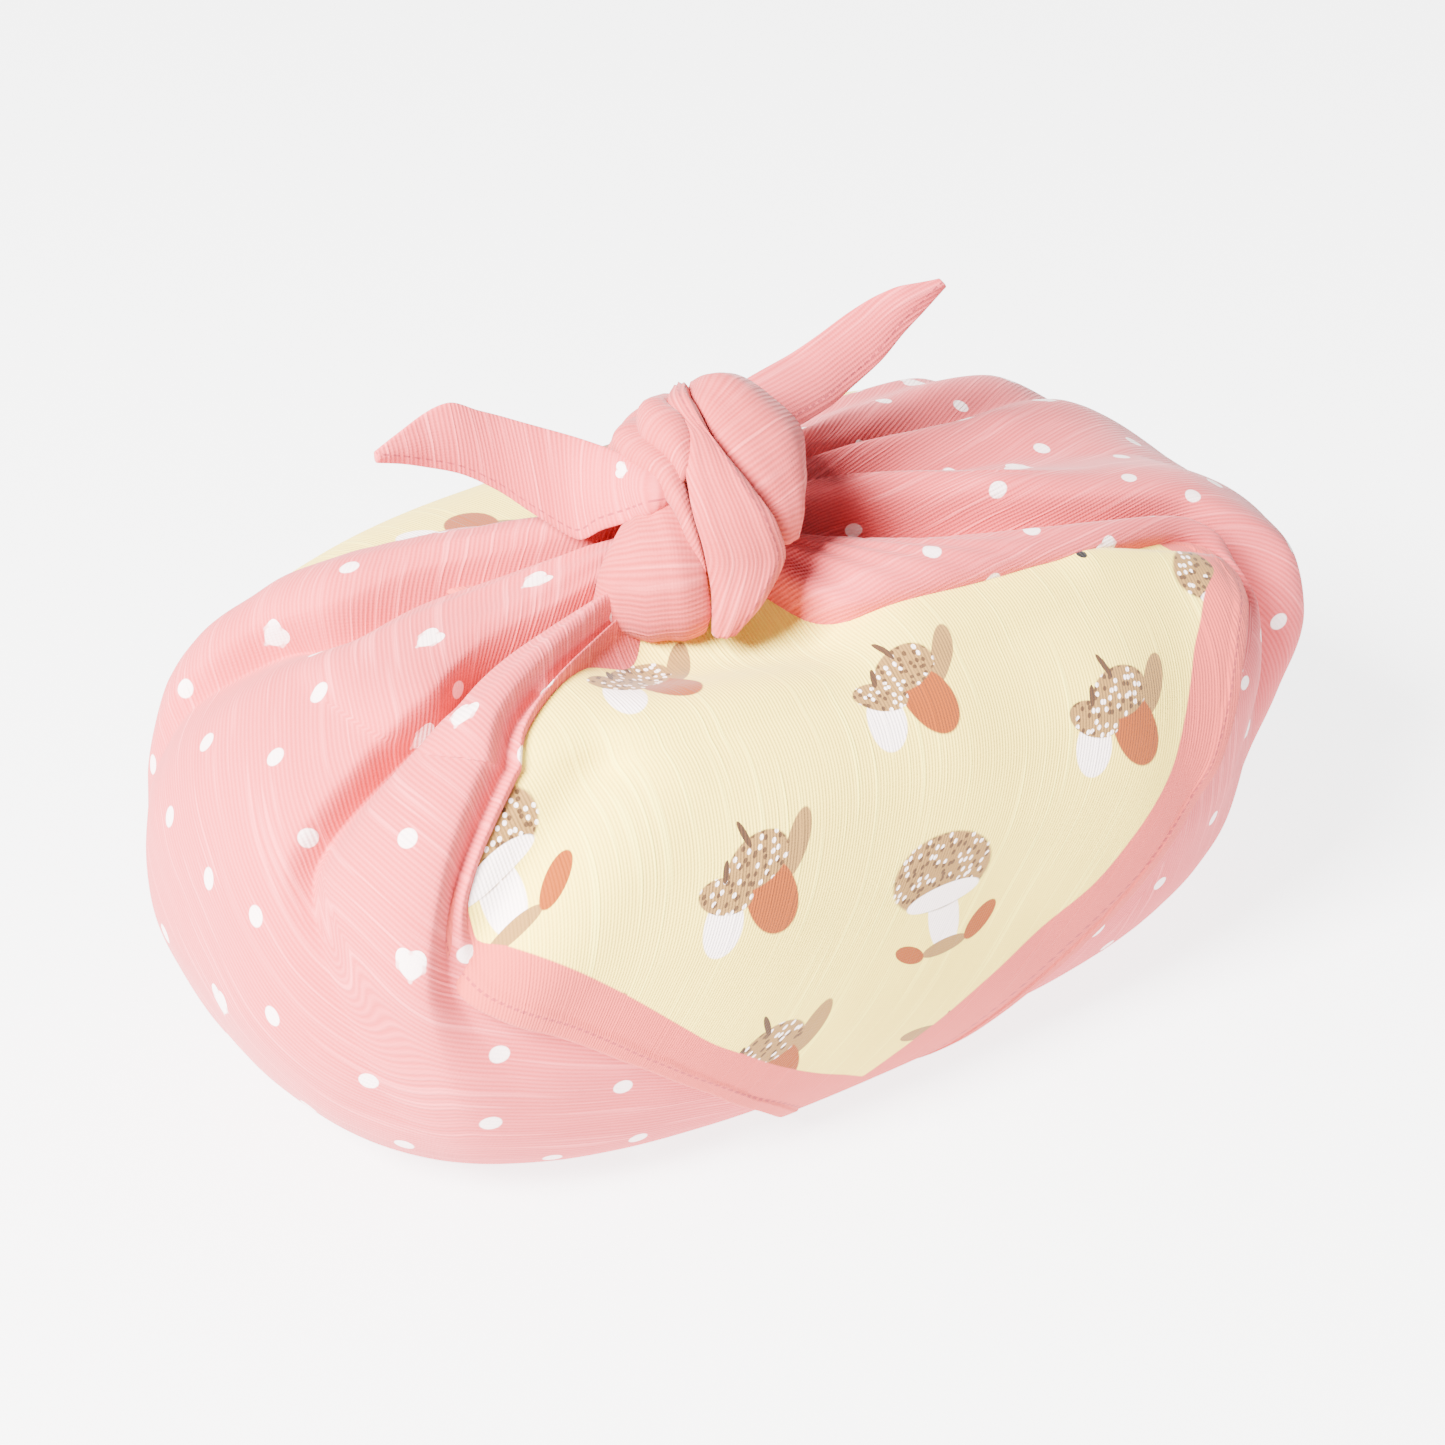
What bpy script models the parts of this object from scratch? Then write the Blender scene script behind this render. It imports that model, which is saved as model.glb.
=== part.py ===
"""A furoshiki wrap: one square cloth folded over a soft oblong bundle and tied on top.

The bundle is one solid, with +X along the tie, the front at -Y and +Z up. The origin is the
middle of the flat underside. Lengths are metres and angles are degrees, turning from +X to +Y.
"""
import bmesh
import bpy
import numpy as np
from mathutils import Matrix, Vector

LENGTH = 0.217
DEPTH = 0.125
HEIGHT = 0.084
PLAN_POWER = 2.9
KNOT_CENTRE = Vector((-0.012, -0.006, 0.097))
KNOT_RADII = Vector((0.0135, 0.017, 0.018))
KNOT_FACETS = (20, 12)

# The filled bundle under the folds: share of the height, and reach towards each side
PROFILE_COLUMNS = ("height", "left", "front", "right", "back")
PROFILE = (
    (0.000, 0.00, 0.00, 0.00, 0.00),
    (0.000, 0.40, 0.40, 0.38, 0.40),
    (0.000, 0.62, 0.62, 0.57, 0.62),
    (0.048, 0.82, 0.82, 0.74, 0.82),
    (0.131, 0.915, 0.91, 0.85, 0.91),
    (0.262, 0.975, 0.97, 0.92, 0.97),
    (0.429, 1.00, 1.00, 0.975, 1.00),
    (0.595, 0.985, 0.99, 1.00, 1.00),
    (0.750, 0.93, 0.93, 0.97, 0.97),
    (0.869, 0.82, 0.80, 0.86, 0.90),
    (0.958, 0.63, 0.60, 0.66, 0.73),
    (0.994, 0.36, 0.36, 0.38, 0.42),
    (1.000, 0.00, 0.00, 0.00, 0.00),
)
SHIFT_START = 0.90
FLAT_RIM = 2 / (len(PROFILE) - 1)
TOP_SHARE = 0.985

# Steps for normals, the least length that still has a way, and how finely outlines are searched
SMALL_ANGLE = 0.1
SMALL_SHARE = 0.002
TINY = 1e-9
SHARE_SAMPLES = 400
SECTION_ANGLES = (90, -62)
SECTION_SAMPLES = 200
SECTION_HALVINGS = 30

# Folds run from the base up to the knot. Each has its angle and its height over the bundle, in
# millimetres, at these six stations, and the number of columns up to the next fold.
STATIONS = (0.38, 0.52, 0.65, 0.75, 0.87, 0.955)
FADE_OUT = 0.24
FOLDS = (
    ("right valley c", 3, (0, 0, 0, -3, 3, 6), (1.0, 1.9, 2.5, 2.5, 2.2, 6.0)),
    ("right ridge b", 3, (10, 10, 10, 10, 13, 13), (1.0, 2.4, 3.7, 4.7, 7.4, 12.5)),
    ("right valley b", 3, (18, 18, 18, 18, 22.5, 22), (0.8, 1.7, 2.4, 2.6, 2.5, 7.0)),
    ("right ridge a", 3, (27, 27, 27, 28, 35, 33), (1.0, 2.4, 4.0, 5.3, 8.0, 13.0)),
    ("right back roll", 2, (36, 36, 36, 37, 54, 60), (0.8, 1.8, 2.4, 3.0, 4.4, 8.5)),
    ("right back lip", 1, (41, 41, 41, 42, 62, 78), (0.8, 2.0, 2.8, 3.6, 4.6, 7.0)),
    ("right back foot", 6, (43, 43, 43, 44.5, 65, 82), (0.0, 0.2, 0.2, 0.2, 0.2, 1.0)),
    ("back flap", 6, (90, 90, 90, 90, 92, 93), (0.0, 0.2, 0.2, 0.2, 0.2, 1.0)),
    ("left back foot", 1, (133, 135, 135, 135.5, 119, 104), (0.0, 0.2, 0.2, 0.2, 0.2, 1.0)),
    ("left back lip", 2, (136, 137.5, 138, 138, 122, 108), (0.8, 2.0, 2.8, 3.6, 4.4, 6.5)),
    ("left back ridge", 2, (145, 148.5, 152, 155, 152, 143), (0.6, 1.6, 3.2, 4.8, 6.8, 10.0)),
    ("left valley a", 4, (152, 154, 156, 157.5, 154.5, 146), (0.2, 0.4, 0.4, -0.5, -1.4, 3.0)),
    ("left ridge", 4, (168, 168, 169, 174.5, 175, 172), (0.4, 1.0, 2.6, 4.4, 6.5, 10.5)),
    ("left shoulder", 1, (203, 198, 191.5, 191.8, 189.5, 191), (0.6, 1.3, 2.9, 4.3, 5.6, 8.5)),
    ("left valley b", 2, (214, 207, 194, 193, 191, 193), (0.3, -0.5, -1.8, -2.6, -3.1, 1.0)),
    ("left front face", 3, (220, 215, 203, 201, 199, 200), (0.8, 2.2, 3.5, 4.3, 4.9, 7.0)),
    ("left front crest", 2, (224, 220.5, 217, 215.5, 212, 210), (0.8, 3.6, 6.5, 7.3, 7.5, 8.5)),
    ("left front foot", 6, (240, 236, 222, 221, 218, 216), (0.0, -0.5, 0.1, 0.2, 0.2, 1.0)),
    ("front flap", 6, (275, 275, 275, 275, 252, 243), (0.0, 0.2, 0.2, 0.2, 0.2, 1.0)),
    ("right front foot", 1, (300, 306, 318, 324, 294, 269), (0.0, -0.4, -0.4, 0.2, 0.2, 1.0)),
    ("right front lip", 2, (302, 309, 320, 324.5, 295, 270), (0.0, -1.4, -1.0, 1.8, 3.4, 5.5)),
    ("right front roll", 2, (308, 314, 323.5, 326.5, 316.5, 290), (0.0, -3.0, -4.5, 3.6, 6.3, 8.5)),
    ("right valley d", 1, (324, 324, 329, 332, 340, 351), (0.0, -2.0, -5.5, -2.4, -1.8, 3.0)),
    ("right ridge c edge", 2, (329, 329.5, 332, 333, 341, 352), (0.8, 1.7, 3.0, 4.5, 5.4, 9.0)),
    ("right ridge c", 3, (345, 345, 343.5, 343, 348, 358), (1.2, 2.6, 4.0, 5.5, 8.2, 12.5)),
)
BODY_RINGS = 38
POLE_RISE = 0.006

# The turned-out corners: where the point lies, how far down from the fold it would hang, how much
# the two hems rise for each metre along X, and where the gathers cover its two ends
FLAP_COLUMNS = ("name", "side", "point", "drop", "left rise", "right rise", "left end", "right end")
FLAPS = (
    ("front_flap", -1, -0.020, 0.126, 1.44, 1.14, -0.086, 0.075),
    ("back_flap", 1, 0.010, 0.122, 1.16, 1.36, -0.078, 0.084),
)
FLAP_TUCK_HEIGHT = 0.004
FLAP_FOLD = 0.014
FLAP_FOLD_BOW = 0.022
FLAP_HALF_WIDTH = 0.076
FLAP_LAYER = 0.0019
FLAP_STEPS_ACROSS = 26
FLAP_STEPS_DOWN = 16
SECTION_AXIS_HEIGHT = 0.045

# Strands and tails, in millimetres: a row for each place along them, with the two edges of the
# gathered cloth and its half thickness
STRAND_COLUMNS = ("x0", "y0", "z0", "x1", "y1", "z1", "half thickness")
STRANDS = {
    "right_wrap": (
        (-9.5, 1.5, 113, -4.5, 4, 113.5, 2.0),
        (-13.5, -8, 115.5, -0.5, 0, 115, 3.0),
        (-14, -13, 113, 3, -6.5, 112, 3.6),
        (-13.5, -18, 109.5, 5, -10.5, 108.5, 3.6),
        (-11.5, -22, 105, 3, -14, 105.5, 3.2),
        (-9.5, -24, 101.5, -1.5, -19, 100.5, 2.6),
        (-8.5, -24.5, 96.5, -5, -21.5, 97, 1.8),
    ),
    "lower_lobe": (
        (-28.5, -6.5, 96.5, -22, -15, 102.5, 2.4),
        (-31.5, -8, 94.5, -23.5, -20.5, 98.5, 3.4),
        (-34.5, -9, 89, -23, -23.5, 92, 3.8),
        (-37, -9, 85, -23, -25, 87.5, 3.8),
        (-35, -11, 82.5, -23, -24, 84.5, 2.8),
    ),
    "twist_loop": (
        (-17, 2, 112.5, -12, 0.5, 114.5, 1.8),
        (-21.5, -1.5, 112.5, -16.5, -3, 116.5, 2.2),
        (-23.5, -6.5, 112, -17, -7.5, 116.5, 2.2),
        (-23, -12, 111, -18, -12, 115, 2.0),
        (-23, -16.5, 108.5, -20, -16, 112, 1.4),
    ),
    "upper_loop": (
        (-20, 5, 106.5, -16.5, 2, 111.5, 2.0),
        (-25, 0.5, 107.5, -20.5, -3.5, 112.5, 2.6),
        (-26, -5.5, 107.5, -20.5, -8, 112, 2.6),
        (-26, -12.5, 107.5, -21, -13, 111, 2.2),
        (-25.5, -17, 105.5, -22.5, -17, 108.5, 1.8),
        (-25, -21, 100.5, -23, -21, 103, 1.4),
    ),
    "central_strand": (
        (-11, 3.5, 114, -9, 1.5, 115, 1.6),
        (-16.5, -3, 115.5, -13.5, -6.5, 117, 1.6),
        (-18.5, -10.5, 114.5, -15, -15.5, 113, 1.6),
        (-22.5, -17, 110.5, -14, -23.5, 109, 1.6),
        (-24, -21.5, 105, -11.5, -27.5, 103, 1.8),
        (-23.5, -24, 98.5, -10, -28, 97, 2.0),
        (-23, -25, 91, -15, -29.5, 90.5, 2.4),
        (-23, -25, 84.5, -19, -27.5, 85, 2.0),
    ),
    "left_tail": (
        (-23.5, -13.5, 107, -24.5, -14.5, 104.5, 1.6),
        (-25.5, -11.5, 110, -27.5, -15, 104, 2.0),
        (-26, -5.5, 110, -29, -12, 102, 1.6),
        (-28, 0.5, 110.5, -32, -6, 98.5, 1.4),
        (-32, 4.5, 112, -33.5, 0, 94.5, 1.2),
        (-39, 8, 115, -38, 5, 98, 1.1),
        (-51, 11, 120.5, -50, 10.5, 107.5, 1.0),
        (-60.5, 12, 117, -60, 12, 111.5, 0.9),
        (-64.5, 12, 115, -64.5, 12, 113, 0.8),
    ),
    "right_tail": (
        (-7, 2, 110, 2, 3, 100, 1.8),
        (-1.5, 3, 112, 9, 3, 101, 1.5),
        (5.5, 5, 112.5, 16, 5, 99.5, 1.3),
        (22.5, 8, 115.5, 30.5, 8, 102, 1.1),
        (37, 9, 119, 43, 9, 109, 1.0),
        (47.5, 9, 118.5, 50, 9, 114.5, 0.9),
        (50.5, 9, 118, 52, 9, 116, 0.8),
    ),
}
STRAND_SIDES = 10
STRAND_STEPS = 2
STRAND_TIP = 0.2

PINK = (0.78, 0.38, 0.37, 1.0)
CLOTH_ROUGHNESS = 0.9


def smooth_curve(knots, values, at):
    """Read a smooth curve through the rows of a table that never overshoots them."""
    knots = np.asarray(knots, float)
    values = np.asarray(values, float)
    slope = np.diff(values) / np.diff(knots)
    tangent = np.concatenate([slope[:1], np.zeros(len(slope) - 1), slope[-1:]])
    same_way = slope[:-1] * slope[1:] > 0
    mean = 2 * slope[:-1] * slope[1:] / np.where(same_way, slope[:-1] + slope[1:], 1)
    tangent[1:-1] = np.where(same_way, mean, 0)
    at = np.clip(at, knots[0], knots[-1])
    row = np.clip(np.searchsorted(knots, at, side="right") - 1, 0, len(slope) - 1)
    span = knots[row + 1] - knots[row]
    t = (at - knots[row]) / span
    bend = span * (tangent[row] * t * (1 - t) ** 2 - tangent[row + 1] * t * t * (1 - t))
    ease = t * t * (3 - 2 * t)
    return values[row] + (values[row + 1] - values[row]) * ease + bend


def profile(column, share):
    """One column of the profile table, at a share of the way from the base up to the top."""
    rows = [row[PROFILE_COLUMNS.index(column)] for row in PROFILE]
    return smooth_curve(np.linspace(0, 1, len(rows)), rows, share)


def knot_shift(height):
    """How far the folds' centre has moved from the base's middle towards the knot."""
    t = np.clip((height / HEIGHT - SHIFT_START) / (1 - SHIFT_START), 0, 1)
    return t * t * (3 - 2 * t)


def reach(share, along, across):
    """The reach of the profile, blended between the four sides by how much each one faces."""
    end = np.where(along < 0, profile("left", share), profile("right", share))
    face = np.where(across < 0, profile("front", share), profile("back", share))
    weight = abs(along) ** PLAN_POWER
    weight = weight / (weight + abs(across) ** PLAN_POWER)
    return end * weight + face * (1 - weight)


def bundle(angle, share):
    """A point on the filled bundle, at an angle round it and a share of the way up."""
    angle, share = np.broadcast_arrays(np.radians(angle), share)
    along = np.sign(np.cos(angle)) * abs(np.cos(angle)) ** (2 / PLAN_POWER)
    across = np.sign(np.sin(angle)) * abs(np.sin(angle)) ** (2 / PLAN_POWER)
    height = HEIGHT * profile("height", share)
    size = reach(share, along, across)
    shift = knot_shift(height)
    x = LENGTH / 2 * along * size + KNOT_CENTRE.x * shift
    y = DEPTH / 2 * across * size + KNOT_CENTRE.y * shift
    return np.stack([x, y, height], -1)


def bundle_normal(angle, share):
    """The way out of the bundle, from two short steps over its surface."""
    turn = bundle(angle + SMALL_ANGLE, share) - bundle(angle - SMALL_ANGLE, share)
    climb = bundle(angle, share + SMALL_SHARE) - bundle(angle, share - SMALL_SHARE)
    normal = np.cross(turn, climb)
    return normal / np.maximum(np.linalg.norm(normal, axis=-1, keepdims=True), TINY)


def folded_columns(share):
    """The angle and height of every column of the body at one ring."""
    angles = [smooth_curve(STATIONS, fold[2], share) for fold in FOLDS]
    heights = [smooth_curve((FADE_OUT,) + STATIONS, (0.0,) + fold[3], share) for fold in FOLDS]
    angles.append(angles[0] + 360)
    heights.append(heights[0])
    column_angles, column_heights = [], []
    for index, fold in enumerate(FOLDS):
        for step in range(fold[1]):
            t = step / fold[1]
            ease = t * t * (3 - 2 * t)
            column_angles.append(angles[index] + (angles[index + 1] - angles[index]) * t)
            column_heights.append(heights[index] + (heights[index + 1] - heights[index]) * ease)
    return np.array(column_angles), np.array(column_heights) / 1000


def ring(share):
    """One closed ring of the folded body."""
    angles, heights = folded_columns(share)
    points = bundle(angles, share)
    if share > FADE_OUT:
        points = points + bundle_normal(angles, share) * heights[:, None]
    return points


def mesh_object(name, mesh_data, material):
    """Turn a bmesh into an object of the part."""
    bmesh.ops.recalc_face_normals(mesh_data, faces=mesh_data.faces)
    mesh = bpy.data.meshes.new(name)
    mesh_data.to_mesh(mesh)
    mesh_data.free()
    mesh.materials.append(material)
    mesh.shade_smooth()
    thing = bpy.data.objects.new(name, mesh)
    PART.objects.link(thing)
    return thing


def loft(rings, start, end):
    """Skin a row of closed rings, with a fan to one point at each end."""
    data = bmesh.new()
    rows = [[data.verts.new(point) for point in points] for points in rings]
    for lower, upper in zip(rows, rows[1:]):
        for side in range(len(lower)):
            after = (side + 1) % len(lower)
            data.faces.new((lower[side], lower[after], upper[after], upper[side]))
    for row, point in ((rows[0], start), (rows[-1], end)):
        tip = data.verts.new(point)
        for side in range(len(row)):
            data.faces.new((row[side], row[(side + 1) % len(row)], tip))
    return data


def make_body(material):
    """The bundle and the gathers that run over it, closed under the knot."""
    lower = np.array([FLAT_RIM / 2, FLAT_RIM])
    upper = np.linspace(FLAT_RIM, TOP_SHARE, BODY_RINGS)[1:]
    rings = [ring(share) for share in np.concatenate([lower, upper])]
    top = Vector((KNOT_CENTRE.x, KNOT_CENTRE.y, HEIGHT + POLE_RISE))
    return mesh_object("furoshiki_cloth", loft(rings, Vector((0, 0, 0)), top), material)


SHARES = np.linspace(FLAT_RIM, 1, SHARE_SAMPLES)
SHARE_HEIGHTS = HEIGHT * profile("height", SHARES)


def inside(points):
    """Under 1 inside the bundle and over 1 outside it."""
    share = np.interp(points[..., 2], SHARE_HEIGHTS, SHARES)
    shift = knot_shift(points[..., 2])
    along = (points[..., 0] - KNOT_CENTRE.x * shift) / (LENGTH / 2)
    across = (points[..., 1] - KNOT_CENTRE.y * shift) / (DEPTH / 2)
    size = (abs(along) ** PLAN_POWER + abs(across) ** PLAN_POWER) ** (1 / PLAN_POWER)
    return size / np.maximum(reach(share, along, across + TINY), TINY)


def section(x, side):
    """The bundle's outline over the top and down one face, cut square across at x."""
    angle = np.radians(np.linspace(*SECTION_ANGLES, SECTION_SAMPLES))
    way = np.stack([np.zeros_like(angle), side * np.cos(angle), np.sin(angle)], -1)
    axis = np.array((x, 0, SECTION_AXIS_HEIGHT))
    near, far = np.zeros_like(angle), np.full_like(angle, LENGTH / 2)
    for _ in range(SECTION_HALVINGS):
        middle = (near + far) / 2
        points = axis + way * middle[:, None]
        outside = (inside(points) > 1) | (points[:, 2] < 0) | (points[:, 2] > HEIGHT)
        near, far = np.where(outside, near, middle), np.where(outside, middle, far)
    return axis + way * near[:, None]


def flap_column(flap, x):
    """Points down one column of a flap, from its fold to its hem, and the way out at each."""
    outline = section(x, flap["side"])
    fold_y = FLAP_FOLD + FLAP_FOLD_BOW * (x / FLAP_HALF_WIDTH) ** 2
    down = np.concatenate([[0], np.cumsum(np.linalg.norm(np.diff(outline, axis=0), axis=1))])
    top = outline[:, 2] > SECTION_AXIS_HEIGHT
    first = np.interp(fold_y, flap["side"] * outline[top, 1], down[top])
    rise = flap["left rise"] if x < flap["point"] else flap["right rise"]
    tuck = np.interp(-FLAP_TUCK_HEIGHT, -outline[:, 2], down)
    last = min(first + flap["drop"] - rise * abs(x - flap["point"]), tuck)
    hang = np.linspace(first, last, FLAP_STEPS_DOWN + 1)
    points = np.stack([np.interp(hang, down, outline[:, axis]) for axis in range(3)], -1)
    run = np.gradient(points, axis=0)
    run /= np.linalg.norm(run, axis=1, keepdims=True)
    out = np.stack([np.zeros(len(run)), -run[:, 2], run[:, 1]], -1) * flap["side"]
    return points, out


def rim_of(layer):
    """The points round the edge of a grid of columns."""
    first, last = layer[0], layer[-1]
    return [column[0] for column in layer] + last[1:] + [column[-1] for column in layer[-2::-1]] + first[-2:0:-1]


def make_flap(row, material):
    """A turned-out corner lying on the bundle, its back sunk into it so that the two fuse."""
    flap = dict(zip(FLAP_COLUMNS, row))
    data = bmesh.new()
    top, under = [], []
    for x in np.linspace(flap["left end"], flap["right end"], FLAP_STEPS_ACROSS + 1):
        points, out = flap_column(flap, x)
        top.append([data.verts.new(point) for point in points + out * FLAP_LAYER])
        under.append([data.verts.new(point) for point in points - out * FLAP_LAYER])
    for layer in (top, under):
        for left, right in zip(layer, layer[1:]):
            for step in range(FLAP_STEPS_DOWN):
                data.faces.new((left[step], left[step + 1], right[step + 1], right[step]))
    upper, lower = rim_of(top), rim_of(under)
    for place in range(len(upper)):
        after = (place + 1) % len(upper)
        data.faces.new((upper[place], upper[after], lower[after], lower[place]))
    return mesh_object(flap["name"], data, material)


def make_strand(name, rows, material):
    """A strand of gathered cloth: flattened oval sections between its two edges."""
    table = np.array(rows, float)
    knots = np.arange(len(table))
    at = np.linspace(0, len(table) - 1, STRAND_STEPS * (len(table) - 1) + 1)
    columns = [smooth_curve(knots, table[:, column], at) for column in range(len(STRAND_COLUMNS))]
    first, second = np.stack(columns[:3], -1) / 1000, np.stack(columns[3:6], -1) / 1000
    middle, wide = (first + second) / 2, (second - first) / 2
    along = np.gradient(middle, axis=0)
    through = np.cross(along, wide)
    through *= columns[6][:, None] / 1000 / np.linalg.norm(through, axis=1, keepdims=True)
    turn = np.radians(np.arange(STRAND_SIDES) * 360 / STRAND_SIDES)
    rings = []
    for index in range(len(middle)):
        rings.append([middle[index] + wide[index] * np.cos(a) + through[index] * np.sin(a) for a in turn])
    start, end = middle[0] - along[0] * STRAND_TIP, middle[-1] + along[-1] * STRAND_TIP
    return mesh_object(name, loft(rings, start, end), material)


def make_knot_core(material):
    """The middle of the knot, which the strands wrap."""
    data = bmesh.new()
    bmesh.ops.create_uvsphere(data, u_segments=KNOT_FACETS[0], v_segments=KNOT_FACETS[1], radius=1)
    place = Matrix.Translation(KNOT_CENTRE) @ Matrix.Diagonal((*KNOT_RADII, 1))
    bmesh.ops.transform(data, matrix=place, verts=data.verts)
    return mesh_object("knot_core", data, material)


def make_material(name, colour):
    """A woven cotton in one colour."""
    material = bpy.data.materials.new(name)
    material.use_nodes = True
    shader = material.node_tree.nodes["Principled BSDF"]
    shader.inputs["Base Color"].default_value = colour
    shader.inputs["Roughness"].default_value = CLOTH_ROUGHNESS
    material.diffuse_color = colour
    return material


def outer_skin(mesh):
    """Fill the small closed pockets between the layers, by keeping only the outer skin."""
    data = bmesh.new()
    data.from_mesh(mesh)
    unseen = set(data.faces)
    skins = []
    while unseen:
        edge_of_skin = [unseen.pop()]
        skin = set(edge_of_skin)
        while edge_of_skin:
            face = edge_of_skin.pop()
            for neighbour in (other for edge in face.edges for other in edge.link_faces):
                if neighbour in unseen:
                    unseen.discard(neighbour)
                    skin.add(neighbour)
                    edge_of_skin.append(neighbour)
        skins.append(skin)
    skins.sort(key=len)
    bmesh.ops.delete(data, geom=[face for skin in skins[:-1] for face in skin], context="FACES")
    data.to_mesh(mesh)
    data.free()
    return mesh


def fuse(body, others):
    """Join every piece of the one cloth into a single closed solid."""
    for other in others:
        union = body.modifiers.new(other.name, "BOOLEAN")
        union.operation = "UNION"
        union.solver = "EXACT"
        union.object = other
    bpy.context.view_layer.update()
    fused = bpy.data.meshes.new_from_object(body.evaluated_get(bpy.context.evaluated_depsgraph_get()))
    body.modifiers.clear()
    body.data = outer_skin(fused)
    for other in others:
        bpy.data.objects.remove(other)


for old in list(bpy.data.objects):
    bpy.data.objects.remove(old)
PART = bpy.data.collections.new("furoshiki_wrap")
bpy.context.scene.collection.children.link(PART)
pink = make_material("pink_cotton", PINK)
cloth = make_body(pink)
pieces = [make_flap(row, pink) for row in FLAPS]
pieces.append(make_knot_core(pink))
pieces += [make_strand(name, rows, pink) for name, rows in STRANDS.items()]
fuse(cloth, pieces)
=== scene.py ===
"""The look of the furoshiki wrap: the folded cotton, its turned-out corners, its knot and its print."""

import bmesh
import bpy
import numpy as np
from mathutils import Matrix, Vector, noise


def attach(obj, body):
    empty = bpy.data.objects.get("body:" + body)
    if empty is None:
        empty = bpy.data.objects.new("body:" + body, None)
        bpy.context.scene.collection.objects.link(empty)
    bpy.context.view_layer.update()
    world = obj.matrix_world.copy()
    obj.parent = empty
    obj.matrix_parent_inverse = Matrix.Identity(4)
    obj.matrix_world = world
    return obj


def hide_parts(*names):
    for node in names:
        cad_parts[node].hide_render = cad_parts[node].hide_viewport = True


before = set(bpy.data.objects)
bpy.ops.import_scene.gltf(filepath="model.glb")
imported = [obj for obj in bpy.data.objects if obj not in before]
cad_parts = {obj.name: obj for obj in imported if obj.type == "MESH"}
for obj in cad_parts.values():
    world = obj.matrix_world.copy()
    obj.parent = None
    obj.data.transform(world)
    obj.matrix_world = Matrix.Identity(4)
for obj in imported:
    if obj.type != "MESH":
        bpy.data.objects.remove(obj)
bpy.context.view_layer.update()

# The bundle, as in the part: metres, with angles in degrees from +X to +Y
LENGTH = 0.217
DEPTH = 0.125
HEIGHT = 0.084
PLAN_POWER = 2.9
KNOT_CENTRE = Vector((-0.012, -0.006, 0.097))
KNOT_RADII = Vector((0.0130, 0.0165, 0.0175))
PROFILE_COLUMNS = ("height", "left", "front", "right", "back")
PROFILE = (
    (0, 0, 0, 0, 0),
    (0, 0.4, 0.4, 0.38, 0.4),
    (0, 0.62, 0.62, 0.57, 0.62),
    (0.048, 0.82, 0.82, 0.74, 0.82),
    (0.131, 0.915, 0.91, 0.85, 0.91),
    (0.262, 0.975, 0.97, 0.92, 0.97),
    (0.429, 1, 1, 0.975, 1),
    (0.595, 0.985, 0.99, 1, 1),
    (0.75, 0.93, 0.93, 0.97, 0.97),
    (0.869, 0.82, 0.8, 0.86, 0.9),
    (0.958, 0.63, 0.6, 0.66, 0.73),
    (0.994, 0.36, 0.36, 0.38, 0.42),
    (1, 0, 0, 0, 0),
)
# The share of the way up at which the profile leaves the floor
BASE_SHARE = 2 / (len(PROFILE) - 1)
# From this share of the height the outlines shift over to the knot
SHIFT_START = 0.90
POLE_RISE = 0.006
INSIDE_STEPS = 400

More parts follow.
